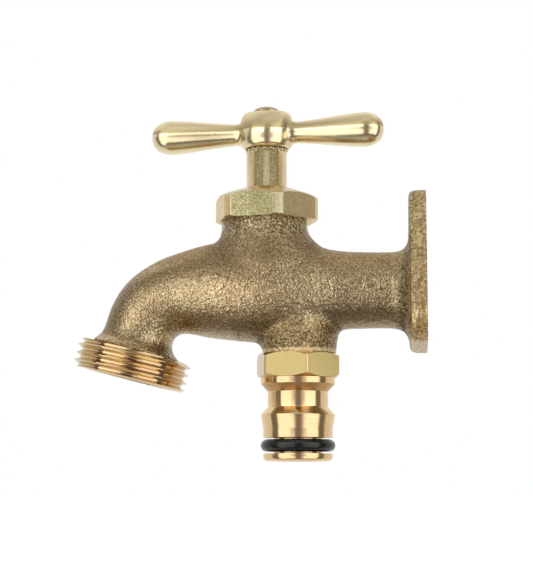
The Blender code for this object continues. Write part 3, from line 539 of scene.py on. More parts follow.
    # painted highlight along the lower edge of the inlet boss
    boss_edge_highlight = calc(tree, "MULTIPLY", remap(tree, z, -13.2, -13.7), remap(tree, x, -43.0, -42.0))
    colour = blend(tree, calc(tree, "MULTIPLY", boss_edge_highlight, 0.8), colour, (0.95, 0.78, 0.46))
    put(shader, "Base Color", colour)
    rough = calc(tree, "ADD", rough, calc(tree, "MULTIPLY", calc(tree, "MAXIMUM", throat, root), 0.22))
    put(shader, "Roughness", calc(tree, "MULTIPLY_ADD", rim, 0.05, rough))
    height = calc(tree, "ADD", calc(tree, "MULTIPLY", fine, 0.36), calc(tree, "MULTIPLY", middle, 0.62))
    height = calc(tree, "ADD", height, calc(tree, "MULTIPLY", pits, 0.25))
    height = calc(tree, "ADD", height, calc(tree, "MULTIPLY", calc(tree, "MULTIPLY", coarse, wrinkled), 2.3))
    height = calc(tree, "ADD", height, calc(tree, "MULTIPLY", calc(tree, "MULTIPLY", mottle, rim), 0.8))
    normal = relief(tree, lumps, 0.2, 0.4)
    height = calc(tree, "ADD", height, calc(tree, "MULTIPLY", speckle, 0.12))
    put(shader, "Normal", relief(tree, height, 0.25, calc(tree, "MULTIPLY_ADD", rim, -0.25, 1.0), normal))
    return mat


def blasted_brass(name, base, deep, rough, scale, depth, spread=0.06, metallic=1.0, patch=0.12):
    """Bead-blasted brass: an even matte grain with a faint change of tone."""
    mat, tree, shader = start_material(name)
    mm = millimetres(tree)
    fine = grain(tree, mm, scale, 1.5, 0.5)
    tone = grain(tree, mm, patch, 3.0, 0.55)
    colour = blend(tree, remap(tree, fine, 0.35, 0.68), deep, base)
    colour = blend(tree, remap(tree, tone, 0.42, 0.65, 0.0, 0.3), colour, deep)
    put(shader, "Base Color", colour)
    put(shader, "Metallic", metallic)
    put(shader, "Roughness", remap(tree, tone, 0.3, 0.7, rough - spread, rough + spread))
    put(shader, "Normal", relief(tree, fine, depth, 1.0))
    return mat


def stem_brass():
    """Rough-ground spindle stem with olive grain; a painted reflection makes it paler where it faces the eye and at
    its edges.
    """
    mat, tree, shader = start_material("spindle_rough_brass")
    mm = millimetres(tree, (BONNET_X, 0.0, 0.0))
    fine = grain(tree, mm, 2.6, 1.5, 0.55)
    tone = grain(tree, mm, 0.2, 2.0, 0.5)
    facing = tree.nodes.new("ShaderNodeLayerWeight")
    put(facing, "Blend", 0.5)
    # painted reflection: pale where the stem faces the eye, dark olive bands beyond, a golden line, pale again towards
    # the edges
    colour = ramp(
        tree,
        facing.outputs["Facing"],
        (
            (0.0, (0.80, 0.69, 0.46)),
            (0.012, (0.76, 0.65, 0.42)),
            (0.035, (0.27, 0.225, 0.10)),
            (0.19, (0.20, 0.16, 0.065)),
            (0.235, (0.62, 0.42, 0.16)),
            (0.29, (0.95, 0.78, 0.50)),
            (1.0, (1.0, 0.88, 0.66)),
        ),
    )
    speck = remap(tree, facing.outputs["Facing"], 0.2, 0.27, 1.0, 0.25)
    colour = blend(tree, calc(tree, "MULTIPLY", speck, remap(tree, fine, 0.50, 0.66, 0.0, 0.32)), colour, (0.85, 0.76, 0.50))
    colour = blend(tree, calc(tree, "MULTIPLY", speck, remap(tree, fine, 0.46, 0.30, 0.0, 0.45)), colour, (0.20, 0.16, 0.06))
    colour = blend(tree, remap(tree, tone, 0.4, 0.65, 0.0, 0.2), colour, (0.5, 0.4, 0.2))
    put(shader, "Base Color", colour)
    put(shader, "Metallic", 0.75)
    put(shader, "Roughness", remap(tree, facing.outputs["Facing"], 0.2, 0.3, 0.50, 0.30))
    put(shader, "Normal", relief(tree, fine, 0.09, remap(tree, facing.outputs["Facing"], 0.2, 0.3, 1.0, 0.25)))
    return mat


def turned_brass(name, base, tint, rough, depth=0.004, pitch=0.16, axis=(0.0, 0.0, 0.0), lean=0.0, shade_down_above=None):
    """Lathe-turned brass: fine feed lines round the axis, faint smears and a slight tarnish."""
    mat, tree, shader = start_material(name)
    mm = millimetres(tree, axis)
    if lean:
        turn = tree.nodes.new("ShaderNodeVectorRotate")
        turn.rotation_type = "Y_AXIS"
        put(turn, "Vector", mm)
        put(turn, "Angle", math.radians(-lean))
        mm = turn.outputs[0]
    split = tree.nodes.new("ShaderNodeSeparateXYZ")
    put(split, 0, mm)
    out = calc(tree, "SQRT", calc(tree, "ADD", calc(tree, "POWER", split.outputs[0], 2.0), calc(tree, "POWER", split.outputs[1], 2.0)))
    along = calc(tree, "ADD", split.outputs[2], calc(tree, "MULTIPLY", out, 0.8))
    wobble = calc(tree, "MULTIPLY", grain(tree, mm, 0.25, 1.0), 0.12)
    lines = calc(tree, "SINE", calc(tree, "MULTIPLY", calc(tree, "ADD", along, wobble), 2.0 * math.pi / pitch))
    flat = tree.nodes.new("ShaderNodeCombineXYZ")
    put(flat, 2, calc(tree, "MULTIPLY", along, 3.0))
    put(flat, 0, calc(tree, "MULTIPLY", split.outputs[0], 0.06))
    put(flat, 1, calc(tree, "MULTIPLY", split.outputs[1], 0.06))
    streaks = grain(tree, flat.outputs[0], 1.6, 2.0, 0.6)
    smears = grain(tree, mm, 0.22, 3.0, 0.6)
    colour = blend(tree, remap(tree, smears, 0.4, 0.7, 0.0, 0.55), base, tint)
    colour = blend(tree, remap(tree, streaks, 0.35, 0.65, 0.0, 0.22), colour, tint)
    if shade_down_above is not None:
        # painted shade: faces turned downwards above this height are darkened brown
        geometry = tree.nodes.new("ShaderNodeNewGeometry")
        turn = tree.nodes.new("ShaderNodeSeparateXYZ")
        put(turn, 0, geometry.outputs["True Normal"])
        downward_shade = calc(tree, "MULTIPLY", remap(tree, turn.outputs[2], -0.3, -0.6), remap(tree, split.outputs[2], shade_down_above - 0.3, shade_down_above + 0.3))
        colour = blend(tree, downward_shade, colour, (0.60, 0.47, 0.32), "MULTIPLY")
    put(shader, "Base Color", colour)
    put(shader, "Metallic", 1.0)
    put(shader, "Roughness", remap(tree, streaks, 0.3, 0.7, rough * 0.8, rough * 1.35))
    height = calc(tree, "ADD", calc(tree, "MULTIPLY", lines, 0.5), streaks)
    put(shader, "Normal", relief(tree, height, depth, 1.0))
    return mat


def hexagon_brass():
    """Matte drawn-bar finish; a painted sheen makes it paler when seen edge on, where it is also shinier."""
    mat, tree, shader = start_material("hexagon_brass")
    mm = millimetres(tree)
    fine = grain(tree, mm, 4.5, 2.0, 0.5)
    facing = tree.nodes.new("ShaderNodeLayerWeight")
    put(facing, "Blend", 0.5)
    edge_sheen = remap(tree, facing.outputs["Facing"], 0.55, 0.80)
    colour = blend(tree, remap(tree, fine, 0.35, 0.65), (0.81, 0.655, 0.275), (0.88, 0.73, 0.335))
    # painted sheen: the colour turns paler towards the edge-on view
    colour = blend(tree, edge_sheen, colour, (0.86, 0.74, 0.56))
    put(shader, "Base Color", colour)
    put(shader, "Metallic", remap(tree, edge_sheen, 0.0, 1.0, 0.30, 0.95))
    put(shader, "Roughness", remap(tree, edge_sheen, 0.0, 1.0, 0.72, 0.35))
    put(shader, "Normal", relief(tree, fine, 0.010))
    return mat


def handle_brass():
    """Die-forged handle: satin above the parting line, buffed below it; painted shade darkens the satin just above the
    line, so it is brighter below.
    """
    mat, tree, shader = start_material("handle_brass")
    mm = millimetres(tree)
    split = tree.nodes.new("ShaderNodeSeparateXYZ")
    put(split, 0, mm)
    fine = grain(tree, mm, 4.2, 2.0, 0.5)
    wander = grain(tree, mm, 0.35, 1.0)
    height = calc(tree, "ADD", split.outputs[2], calc(tree, "MULTIPLY", wander, 0.25))
    satin = remap(tree, height, 37.54, 37.66)
    line = calc(tree, "MULTIPLY", remap(tree, height, 37.44, 37.54), remap(tree, height, 37.68, 37.58))
    # painted shade on the satin, darkest just above the parting line and fading higher up, over a taller band on the
    # hub than on the arms
    offset = calc(tree, "SUBTRACT", split.outputs[0], BONNET_X)
    reach = remap(tree, calc(tree, "ABSOLUTE", offset), 5.5, 8.0, 41.5, remap(tree, offset, -6.0, 6.0, 39.0, 39.9))
    top_shade = calc(tree, "MULTIPLY", satin, remap(tree, height, reach, 37.6))
    patches = grain(tree, mm, 0.14, 2.0, 0.5)
    base = blend(tree, remap(tree, patches, 0.38, 0.66), (0.90, 0.79, 0.52), (0.83, 0.70, 0.43))
    colour = blend(tree, satin, base, (0.89, 0.755, 0.475))
    colour = blend(tree, calc(tree, "MULTIPLY", top_shade, 0.88), colour, (0.47, 0.43, 0.34), "MULTIPLY")
    colour = blend(tree, calc(tree, "MULTIPLY", line, 0.35), colour, (0.40, 0.30, 0.14))
    put(shader, "Base Color", colour)
    put(shader, "Metallic", 1.0)
    rough = remap(tree, satin, 0.0, 1.0, 0.18, 0.32)
    put(shader, "Roughness", calc(tree, "ADD", rough, remap(tree, fine, 0.3, 0.7, -0.02, 0.03)))
    rise = calc(tree, "ADD", calc(tree, "MULTIPLY", fine, 0.3), calc(tree, "MULTIPLY", line, -0.8))
    put(shader, "Normal", relief(tree, rise, 0.035, 1.0))
    return mat


def matte_material(name, base, dark, rough, scale, depth, metallic=0.0, shine=0.5):
    """Rubber and fibre: a fine grain, slight scuffs and an uneven sheen."""
    mat, tree, shader = start_material(name)
    mm = millimetres(tree)
    fine = grain(tree, mm, scale, 2.0, 0.6)
    scuff = grain(tree, mm, 0.5, 3.0, 0.6)
    put(shader, "Base Color", blend(tree, remap(tree, fine, 0.3, 0.7), dark, base))
    put(shader, "Metallic", metallic)
    put(shader, "Roughness", remap(tree, scuff, 0.3, 0.7, rough * 0.85, rough * 1.25))
    put(shader, "Normal", relief(tree, fine, depth, 1.0))
    put(shader, "Specular IOR Level", shine)
    return mat


CAST_SKIN = cast_brass()
CUT_BRASS = turned_brass("machined_brass", (0.80, 0.62, 0.36), (0.62, 0.44, 0.22), 0.30, 0.006, 0.2, (BONNET_X, 0.0, 0.0))
THREAD_BRASS = turned_brass("thread_brass", (0.71, 0.555, 0.345), (0.65, 0.48, 0.275), 0.06, 0.0006, 0.11, (OUTLET_END[0], 0.0, OUTLET_END[1]), OUTLET_LEAN)
# the nut's darker flat copy is painted shade and its paler corner copy is a painted reflection
NUT_SHADED_FLAT = blasted_brass("nut_flat_shaded_copy", (0.54, 0.50, 0.285), (0.27, 0.24, 0.11), 0.36, 2.7, 0.13)
NUT_CROWN = turned_brass("nut_crown_brass", (0.68, 0.55, 0.355), (0.56, 0.42, 0.245), 0.22, 0.004, 0.2, (BONNET_X, 0.0, 0.0))
NUT_CORNER_REFLECTION = blasted_brass("nut_corner_reflection", (0.74, 0.68, 0.45), (0.50, 0.455, 0.28), 0.40, 3.4, 0.10)
NUT_TURNED = blasted_brass("nut_smooth_brass", (0.88, 0.735, 0.44), (0.74, 0.59, 0.315), 0.34, 2.2, 0.02)
HANDLE_BRASS = handle_brass()
SPINDLE_BRASS = stem_brass()
SCREW_BRASS = blasted_brass("screw_brass", (0.62, 0.50, 0.34), (0.42, 0.33, 0.21), 0.32, 4.0, 0.02)
CONNECTOR_BRASS = turned_brass("connector_brass", (0.89, 0.665, 0.375), (0.81, 0.57, 0.30), 0.11, 0.003, 0.13, (INLET_X, 0.0, 0.0), shade_down_above=-36.5)
HEX_BRASS = hexagon_brass()
SEAL_RUBBER = matte_material("seal_rubber", (0.012, 0.0125, 0.0125), (0.007, 0.0075, 0.0075), 0.17, 2.4, 0.003, shine=0.5)
PACKING_FIBRE = matte_material("packing_fibre", (0.11, 0.11, 0.115), (0.04, 0.04, 0.045), 0.7, 1.6, 0.12)
GASKET_FIBRE = matte_material("gasket_fibre", (0.46, 0.14, 0.08), (0.28, 0.08, 0.045), 0.75, 2.2, 0.05)
HIDDEN_BRASS = turned_brass("inner_brass", (0.84, 0.64, 0.36), (0.66, 0.47, 0.24), 0.2, 0.004, 0.18, (BONNET_X, 0.0, 0.0))


# ------------------------------------------------------------------ cast body


def smoothed(mesh, iterations, factor=0.5):
    """Evens the skin by moving each point part of the way to the mean of its neighbours."""
    count = len(mesh.vertices)
    co = np.empty(count * 3)
    mesh.vertices.foreach_get("co", co)
    co = co.reshape(-1, 3)
    ends = np.empty(len(mesh.edges) * 2, np.int64)
    mesh.edges.foreach_get("vertices", ends)
    a, b = ends.reshape(-1, 2).T
    degree = np.bincount(a, minlength=count) + np.bincount(b, minlength=count)
    for _ in range(iterations):
        total = np.empty_like(co)
        for k in range(3):
            total[:, k] = np.bincount(a, co[b, k], count) + np.bincount(b, co[a, k], count)
        co += factor * (total / degree[:, None] - co)
    mesh.vertices.foreach_set("co", co.ravel())
    mesh.update()


def outlet_local(co):
    """Distance along the outlet's axis from its end face, and out from that axis."""
    t = math.radians(OUTLET_LEAN)
    dx, dz = co[:, 0] - OUTLET_END[0], co[:, 2] - OUTLET_END[1]
    along = dx * math.sin(t) + dz * math.cos(t)
    across = dx * math.cos(t) - dz * math.sin(t)
    return along, np.hypot(across, co[:, 1])


def build_body():
    blanks = [
        temp("spout", lofted(smooth_stations(STATIONS, 6), 80)),
        temp("flange", flange_blank()),
        temp("flare", along_x(turned(((8.5, -9.0), (8.8, -6.6), (9.3, -5.4), (10.2, -4.5), (11.6, -3.9), (11.6, -2.0)), 80))),
        temp(
            "neck",
            risen(
                (
                    (2.0, BONNET_X, 10.8, 12.2),
                    (5.0, BONNET_X + 0.3, 12.0, 11.9),
                    (8.0, BONNET_X + 0.5, 13.2, 11.4),
                    (10.2, BONNET_X + 0.3, 12.3, 10.9),
                    (11.4, BONNET_X, 11.3, 10.55),
                    (12.6, BONNET_X - 0.3, 10.4, 10.15),
                    (14.0, BONNET_X - 0.5, 9.9, 9.8),
                    (NECK_TOP_Z + 1.6, BONNET_X - 0.5, 9.8, 9.8),
                ),
                80,
            ),
        ),
        temp(
            "boss",
            risen(
                tuple(
                    (z, INLET_X + shift, half, depth)
                    for z, shift, half, depth in (
                        (-15.7, 0.4, 8.45, 8.5),
                        (-13.2, 0.38, 8.5, 8.6),
                        (-12.2, 0.15, 8.8, 8.75),
                        (-11.2, -0.2, 9.3, 8.9),
                        (-10.2, -0.4, 9.75, 9.05),
                        (-3.0, -0.4, 9.75, 9.2),
                    )
                ),
                80,
            ),
        ),
    ]
    body = blanks[0]
    bm = bmesh.new()
    for blank in blanks:
        bm.from_mesh(blank.data)
    bm.to_mesh(body.data)
    bm.free()
    drop(*blanks[1:])
    skin = body.modifiers.new("skin", "REMESH")
    skin.mode, skin.voxel_size, skin.adaptivity = "VOXEL", VOXEL, 0.0
    settle(body)
    smoothed(body.data, int(round(9 * (0.85 / VOXEL) ** 2)))

    # saw and lathe cuts
    boolean(body, box(0.0, 8.0, -30.0, 30.0, -30.0, 30.0), "DIFFERENCE")
    boolean(body, placed(box(-14.0, 14.0, -14.0, 14.0, NECK_TOP_Z, NECK_TOP_Z + 6.0), x=BONNET_X), "DIFFERENCE")
    boolean(body, placed(box(-12.0, 12.0, -12.0, 12.0, BOSS_FACE_Z - 6.0, BOSS_FACE_Z), x=INLET_X), "DIFFERENCE")
    boolean(body, at_outlet(box(-20.0, 20.0, -20.0, 20.0, -12.0, 5.4)), "DIFFERENCE")
    boolean(
        body,
        placed(turned(((NECK_THREAD_R, 10.0), (NECK_THREAD_R, 19.9), (NECK_THREAD_R - 0.5, 20.4)), 96), x=BONNET_X),
        "UNION",
    )

    # outlet thread: rounded crests and roots, trimmed to its chamfered envelope
    depth = MAJOR_R - MINOR_R
    tooth = (
        (-0.5 * PITCH, MINOR_R),
        (-0.40 * PITCH, MINOR_R + 0.04 * depth),
        (-0.075 * PITCH, MAJOR_R - 0.07 * depth),
        (-0.03 * PITCH, MAJOR_R),
        (0.03 * PITCH, MAJOR_R),
        (0.075 * PITCH, MAJOR_R - 0.07 * depth),
        (0.40 * PITCH, MINOR_R + 0.04 * depth),
    )
    thread = temp("thread", at_outlet(placed(screw_rod(tooth, PITCH, 0.0, OUTLET_LENGTH, 160), yaw=OUTLET_START)))
    boolean(
        thread,
        at_outlet(turned(eased(((12.45, 0.0), (13.6, 0.9), (13.6, OUTLET_LENGTH - 0.25), (12.7, OUTLET_LENGTH)), 0.0), 160)),
        "INTERSECT",
    )
    boolean(body, thread, "UNION")

    # water way and bores
    boolean(
        body,
        lofted(
            smooth_stations(
                (
                    (-42.9, 1.7, 0.0, 4.5, 5.6),
                    (-47.0, 1.2, 0.0, 5.3, 6.2),
                    (-52.0, 0.4, 3.0, 6.0, 6.4),
                    (-57.0, -0.5, 9.0, 6.0, 6.3),
                    (-60.6, -2.3, 26.0, 5.8, 6.1),
                    (-63.6, -5.3, 48.0, 5.7, 5.9),
                    (-65.4, -8.6, 66.0, 5.7, 5.8),
                    (-66.3, -11.6, 75.52, 6.2, 6.2),
                    (-66.9, -14.0, 75.52, 8.0, 8.0),
                    (-67.25, -15.8, 75.52, 8.6, 8.6),
                ),
                5,
            ),
            64,
        ),
        "DIFFERENCE",
    )
    boolean(body, at_outlet(turned(((10.3, -2.0), (10.3, 0.0), (10.0, 0.3), (10.0, 4.0), (8.2, 6.0)), 128)), "DIFFERENCE")
    boolean(
        body,
        placed(
            turned(
                (
                    (4.4, -7.2),
                    (4.4, -1.3),
                    (4.7, -1.0),
                    (6.3, -1.0),
                    (6.6, -1.8),
                    (8.0, -1.8),
                    (8.0, 4.2),
                    (6.0, 5.4),
                    (6.0, 14.6),
                    (7.6, 14.6),
                    (7.6, 22.4),
                ),
                96,
            ),
            x=BONNET_X,
        ),
        "DIFFERENCE",
    )
    boolean(
        body,
        placed(turned(((7.4, -16.2), (7.4, -14.2), (6.9, -13.7), (6.9, -7.6), (4.5, -7.6), (4.5, -3.6)), 96), x=INLET_X),
        "DIFFERENCE",
    )
    boolean(body, box(BONNET_X, INLET_X, -3.8, 3.8, -6.9, -3.9), "DIFFERENCE")
    for angle in EAR_ANGLES:
        y, z = EAR_PCD_R * math.cos(math.radians(angle)), EAR_PCD_R * math.sin(math.radians(angle))
        hole = turned(((2.9, -12.0), (2.9, -FLANGE_T - 0.2), (SCREW_HOLE_R, -FLANGE_T + 0.5), (SCREW_HOLE_R, 4.0)), 64)
        boolean(body, placed(along_x(hole), y=y, z=z), "DIFFERENCE")
    core = temp("core", placed(screw_rod(trapezoid(5.75, 6.9, 0.82, 0.57), SCREW_PITCH, FOOT_Z - SCREW_PITCH, 14.0, 60), x=BONNET_X))
    boolean(core, placed(turned(((7.6, 3.8), (7.6, 15.1)), 60), x=BONNET_X), "INTERSECT")
    boolean(body, core, "DIFFERENCE")

    # which faces are cast skin, which were cut
    mesh = body.data
    count = len(mesh.polygons)
    centre = np.empty(count * 3)
    normal = np.empty(count * 3)
    mesh.polygons.foreach_get("center", centre)
    mesh.polygons.foreach_get("normal", normal)
    centre, normal = centre.reshape(-1, 3), normal.reshape(-1, 3)
    kind = np.full(count, CAST)
    bonnet = np.hypot(centre[:, 0] - BONNET_X, centre[:, 1])
    inlet = np.hypot(centre[:, 0] - INLET_X, centre[:, 1])
    kind[(centre[:, 0] > -0.01) & (normal[:, 0] > 0.9)] = CUT
    kind[(centre[:, 2] > NECK_TOP_Z - 0.01) & (bonnet < 12.0)] = CUT
    kind[(bonnet < 8.05) & (centre[:, 2] > -1.9) & (centre[:, 2] < 25.0)] = CUT
    kind[(inlet < 9.5) & (centre[:, 2] < BOSS_FACE_Z + 0.01)] = CUT
    kind[(inlet < 7.45) & (centre[:, 2] < -7.5)] = CUT
    for angle in EAR_ANGLES:
        y, z = EAR_PCD_R * math.cos(math.radians(angle)), EAR_PCD_R * math.sin(math.radians(angle))
        kind[(np.hypot(centre[:, 1] - y, centre[:, 2] - z) < 2.95) & (centre[:, 0] > -4.6)] = CUT
    along, out = outlet_local(centre)
    kind[(along < 5.41) & (out < 14.0)] = THREAD
    kind[(along < 6.61) & (out > 11.95) & (out < 14.0)] = THREAD
    mesh.polygons.foreach_set("material_index", kind.astype(np.int32))

    # casting unevenness on the skin, fading out at the cut edges
    points = len(mesh.vertices)
    co = np.empty(points * 3)
    mesh.vertices.foreach_get("co", co)
    co = co.reshape(-1, 3)
    vn = np.empty(points * 3)
    mesh.vertices.foreach_get("normal", vn)
    vn = vn.reshape(-1, 3)
    cut_vertex = np.zeros(points, bool)
    loops = np.empty(len(mesh.loops), np.int32)
    mesh.loops.foreach_get("vertex_index", loops)
    totals = np.empty(count, np.int32)
    mesh.polygons.foreach_get("loop_total", totals)
    cut_vertex[loops[np.repeat(kind != CAST, totals)]] = True
    along, out = outlet_local(co)
    bonnet = np.hypot(co[:, 0] - BONNET_X, co[:, 1])
    inlet = np.hypot(co[:, 0] - INLET_X, co[:, 1])
    keep = np.ones(points)
    keep = np.minimum(keep, np.clip(-co[:, 0] / 0.5, 0.0, 1.0))
    keep = np.minimum(keep, np.where(bonnet < 12.0, np.clip((NECK_TOP_Z - co[:, 2]) / 0.5, 0.0, 1.0), 1.0))
    keep = np.minimum(keep, np.where(inlet < 10.5, np.clip((co[:, 2] - BOSS_FACE_Z) / 0.4, 0.0, 1.0), 1.0))
    keep = np.minimum(keep, np.where(out < 14.0, np.clip((along - 6.4) / 0.8, 0.0, 1.0), 1.0))
    inner = (np.abs(co[:, 1]) < 6.6) & ((vn * (co - np.array([co[:, 0].mean(), 0.0, 0.0]))).sum(1) < -20.0)
    keep[cut_vertex | inner] = 0.0
    index = np.nonzero(keep > 0.0)[0]
    lift = np.zeros(points)
    for i in index:
        p = Vector(co[i])
        rough = 0.5 * noise.noise(p * 1.25) + 0.35 * noise.noise(p * 0.62 + Vector((9.0, 4.0, 1.0)))
        wave = noise.noise(p * 0.16 + Vector((3.0, 7.0, 2.0)))
        lift[i] = 0.075 * rough + 0.07 * wave
    co += vn * (lift * keep)[:, None]
    mesh.vertices.foreach_set("co", co.ravel())
    mesh.update()
    return finish_piece(body, "cast_body", "tap_body", ["body"], [CAST_SKIN, CUT_BRASS, THREAD_BRASS], 42.0)


# ------------------------------------------------------------------ packing nut


def build_nut():
    bore_r, stem_r = NECK_THREAD_R + 0.3, 4.95
    profile = (
        (10.7, 16.2, 0.12),
        (11.55, 16.2, 0.12),
        (12.1, 16.5, 0.15),
        (12.1, 21.3, 0.35),
        (10.3, 22.3, 0.5),
        (7.8, 23.15, 0.8),
        (5.6, 23.85, 0.12),
        (stem_r + 0.15, 24.0, 0.08),
        (stem_r, 23.8, 0.05),
        (stem_r, 21.2, 0.1),
        (bore_r, 21.2, 0.1),
        (bore_r, 17.5, 0.1),
    )
    points = dense(eased(profile, 0.1, closed=True), 0.16, closed=True)
    first = math.radians(-103.0)
    rule = hexed(22.0, first, 12.1, 0.10)

    def shape(a, r, z):
        return rule(a, r, z) if r > 9.5 else r

    nut = temp("nut", placed(turned(points, 360, True, shape, first), x=BONNET_X))
    mesh = nut.data
    for poly in mesh.polygons:
        x, y, z = poly.center.x - BONNET_X, poly.center.y, poly.center.z
        a = math.atan2(y, x)
        off = (a - first + math.pi / 6.0) % (math.pi / 3.0) - math.pi / 6.0
        side = int(round((a - first - off) / (math.pi / 3.0))) % 6
        flat = abs(math.hypot(x, y) * math.cos(off) - 11.0) < 0.02 and abs(poly.normal.z) < 0.2
        corner = off > 0.40 and abs(math.hypot(x, y) - 12.1) < 0.12 and abs(poly.normal.z) < 0.2
        beyond = off < -0.40 and abs(math.hypot(x, y) - 12.1) < 0.12 and abs(poly.normal.z) < 0.2
        # painted shade on the flats facing front and back, and a painted reflection on one corner of each; the rest
        # takes the main nut brass
        if flat and side in (0, 3):
            poly.material_index = 0
        elif poly.normal.z > 0.3 and z > 21.0:
            poly.material_index = 3
        else:
            poly.material_index = 2 if corner and side in (0, 3) or beyond and side in (1, 4) else 1
    return finish_piece(nut, "hexagon_packing_nut", "tap_body", ["packing_nut"], [NUT_SHADED_FLAT, NUT_TURNED, NUT_CORNER_REFLECTION, NUT_CROWN], 50.0)


# ------------------------------------------------------------------ spindle, handle and screw


def build_spindle():
    teeth = 20
    screw = temp("screw", screw_rod(trapezoid(5.7, 6.6, 0.50, 0.28), SCREW_PITCH, FOOT_Z, SCREW_TOP_Z, 60))
    boolean(screw, turned(((6.1, FOOT_Z), (6.8, FOOT_Z + 0.6), (6.8, SCREW_TOP_Z - 0.6), (6.1, SCREW_TOP_Z)), 60), "INTERSECT")

    def shape(a, r, z):
        if z < 32.2 or r < 4.0:
            return r
        wave = 0.5 + 0.5 * math.cos(teeth * a)
        if z < 33.32:
            # the rolled-over ends of the teeth stand a little proud of the stem
            rise = min(1.0, max(0.0, (z - 32.3) / 0.3)) * min(1.0, max(0.0, (33.3 - z) / 0.15))
            return r + rise * (0.26 * min(1.0, 1.6 * wave) - 0.12 * (1.0 - wave) ** 2)
        return r - (0.42 * (1.0 - min(1.0, 2.2 * wave)) if wave < 0.4545 else 0.0)

    profile = dense(
        eased(
            (
                (0.0, FOOT_Z + 3.0),
                (3.6, FOOT_Z + 3.0),
                (4.65, FOOT_Z + 4.0),
                (4.65, 32.2, 0.1),
                (4.62, 32.35, 0.1),
                (4.62, 33.05, 0.12),
                (4.5, 33.3, 0.1),
                (4.5, 39.0, 0.1),
                (4.3, 39.2, 0.1),
                (2.3, 39.2, 0.1),
                (2.3, 28.6, 0.1),
                (0.0, 28.6),
            ),
            0.15,
        ),
        0.3,
    )
    boolean(screw, turned(profile, 320, False, shape), "UNION")
    boolean(screw, turned(((2.7, 2.2), (2.7, 7.2), (3.4, 7.2), (3.4, 8.7), (2.7, 8.7), (2.7, 12.6)), 48), "DIFFERENCE")
    screw.data.transform(Matrix.Translation((BONNET_X, 0.0, 0.0)))
    return finish_piece(screw, "screwed_spindle", "spindle", ["spindle"], [SPINDLE_BRASS], 45.0)


def arm_profile():
    points = [(0.0, 2.6), (2.9, 3.0), (2.9, 5.6), (2.62, 6.4), (2.5, 7.2)]
    for i in range(1, 25):
        t = i / 24
        points.append((2.5 + (3.98 - 2.5) * math.sin(t * math.pi / 2.0) ** 1.15 * (0.55 + 0.45 * t), 7.2 + (22.8 - 7.2) * t))
    for i in range(1, 20):
        a = 0.5 * math.pi * i / 20
        points.append((3.98 * math.cos(a) ** 0.8, 22.8 + (27.4 - 22.8) * math.sin(a)))
    points.append((0.0, 27.4))
    return points


def build_handle():
    hub = [
        (0.0, 33.2),
        (5.1, 33.2),
        (5.75, 33.7),
        (6.1, 34.7),
        (6.22, 36.2),
        (6.22, 38.0),
        (6.12, 39.2),
        (5.98, 40.2),
        (5.65, 41.15),
        (5.1, 41.75),
        (4.0, 41.95),
        (0.0, 41.95),
    ]

    def barrel(a, r, z):
        # the front and back fall away towards the top, the sides stay full
        side = float(np.interp(z, [h[1] for h in hub[:-1]], [h[0] for h in hub[:-1]]))
        front = 6.22 - (7.2 - math.sqrt(7.2**2 - (z - 36.0) ** 2))
        return r * (1.0 - max(0.0, side - front) / max(side, 3.0) * math.sin(a) ** 2)

    bm = turned(dense(eased(hub, 0.45), 0.3), 128, False, barrel)
    handle = temp("handle", bm)
    joined = bmesh.new()
    joined.from_mesh(handle.data)
    for yaw in (0.0, 180.0):
        arm = temp("arm", placed(placed(along_x(turned(arm_profile(), 96)), z=36.95), yaw=yaw))
        joined.from_mesh(arm.data)
        drop(arm)
    joined.to_mesh(handle.data)
    joined.free()
    skin = handle.modifiers.new("skin", "REMESH")
    skin.mode, skin.voxel_size, skin.adaptivity = "VOXEL", 0.17, 0.0
    settle(handle)
    smoothed(handle.data, 9)
    boolean(
        handle,
        turned(((5.15, 31.2), (5.15, 33.0), (5.05, 33.35), (4.85, 33.6), (4.85, 39.6), (2.3, 39.6), (2.3, 43.7)), 96),
        "DIFFERENCE",
    )
    handle.data.transform(Matrix.Translation((BONNET_X, 0.0, 0.0)) @ Matrix.Rotation(math.radians(-7.5), 4, "Z"))
    return finish_piece(handle, "t_handle", "spindle", ["handle"], [HANDLE_BRASS], 45.0)


def build_screw():
    top = 41.84
    profile = eased(
        (
            (0.0, 30.0),
            (1.7, 30.0),
            (2.0, 30.4),
            (2.0, top + 0.12),
            (2.95, top + 0.12, 0.06),
            (3.02, top + 0.35, 0.12),
            (2.75, top + 0.74, 0.2),
            (2.0, top + 1.12, 0.3),
            (1.0, top + 1.34, 0.3),
            (0.0, top + 1.38),
        ),
        0.06,
    )
    screw = temp("handle_screw_work", turned(profile, 96))
    boolean(screw, placed(box(-4.0, 4.0, -0.45, 0.45, top + 0.7, top + 3.0), yaw=25.0), "DIFFERENCE")
    screw.data.transform(Matrix.Translation((BONNET_X, 0.0, 0.0)))
    return finish_piece(screw, "slotted_handle_screw", "spindle", ["handle_screw"], [SCREW_BRASS], 40.0)


# ------------------------------------------------------------------ hose connector


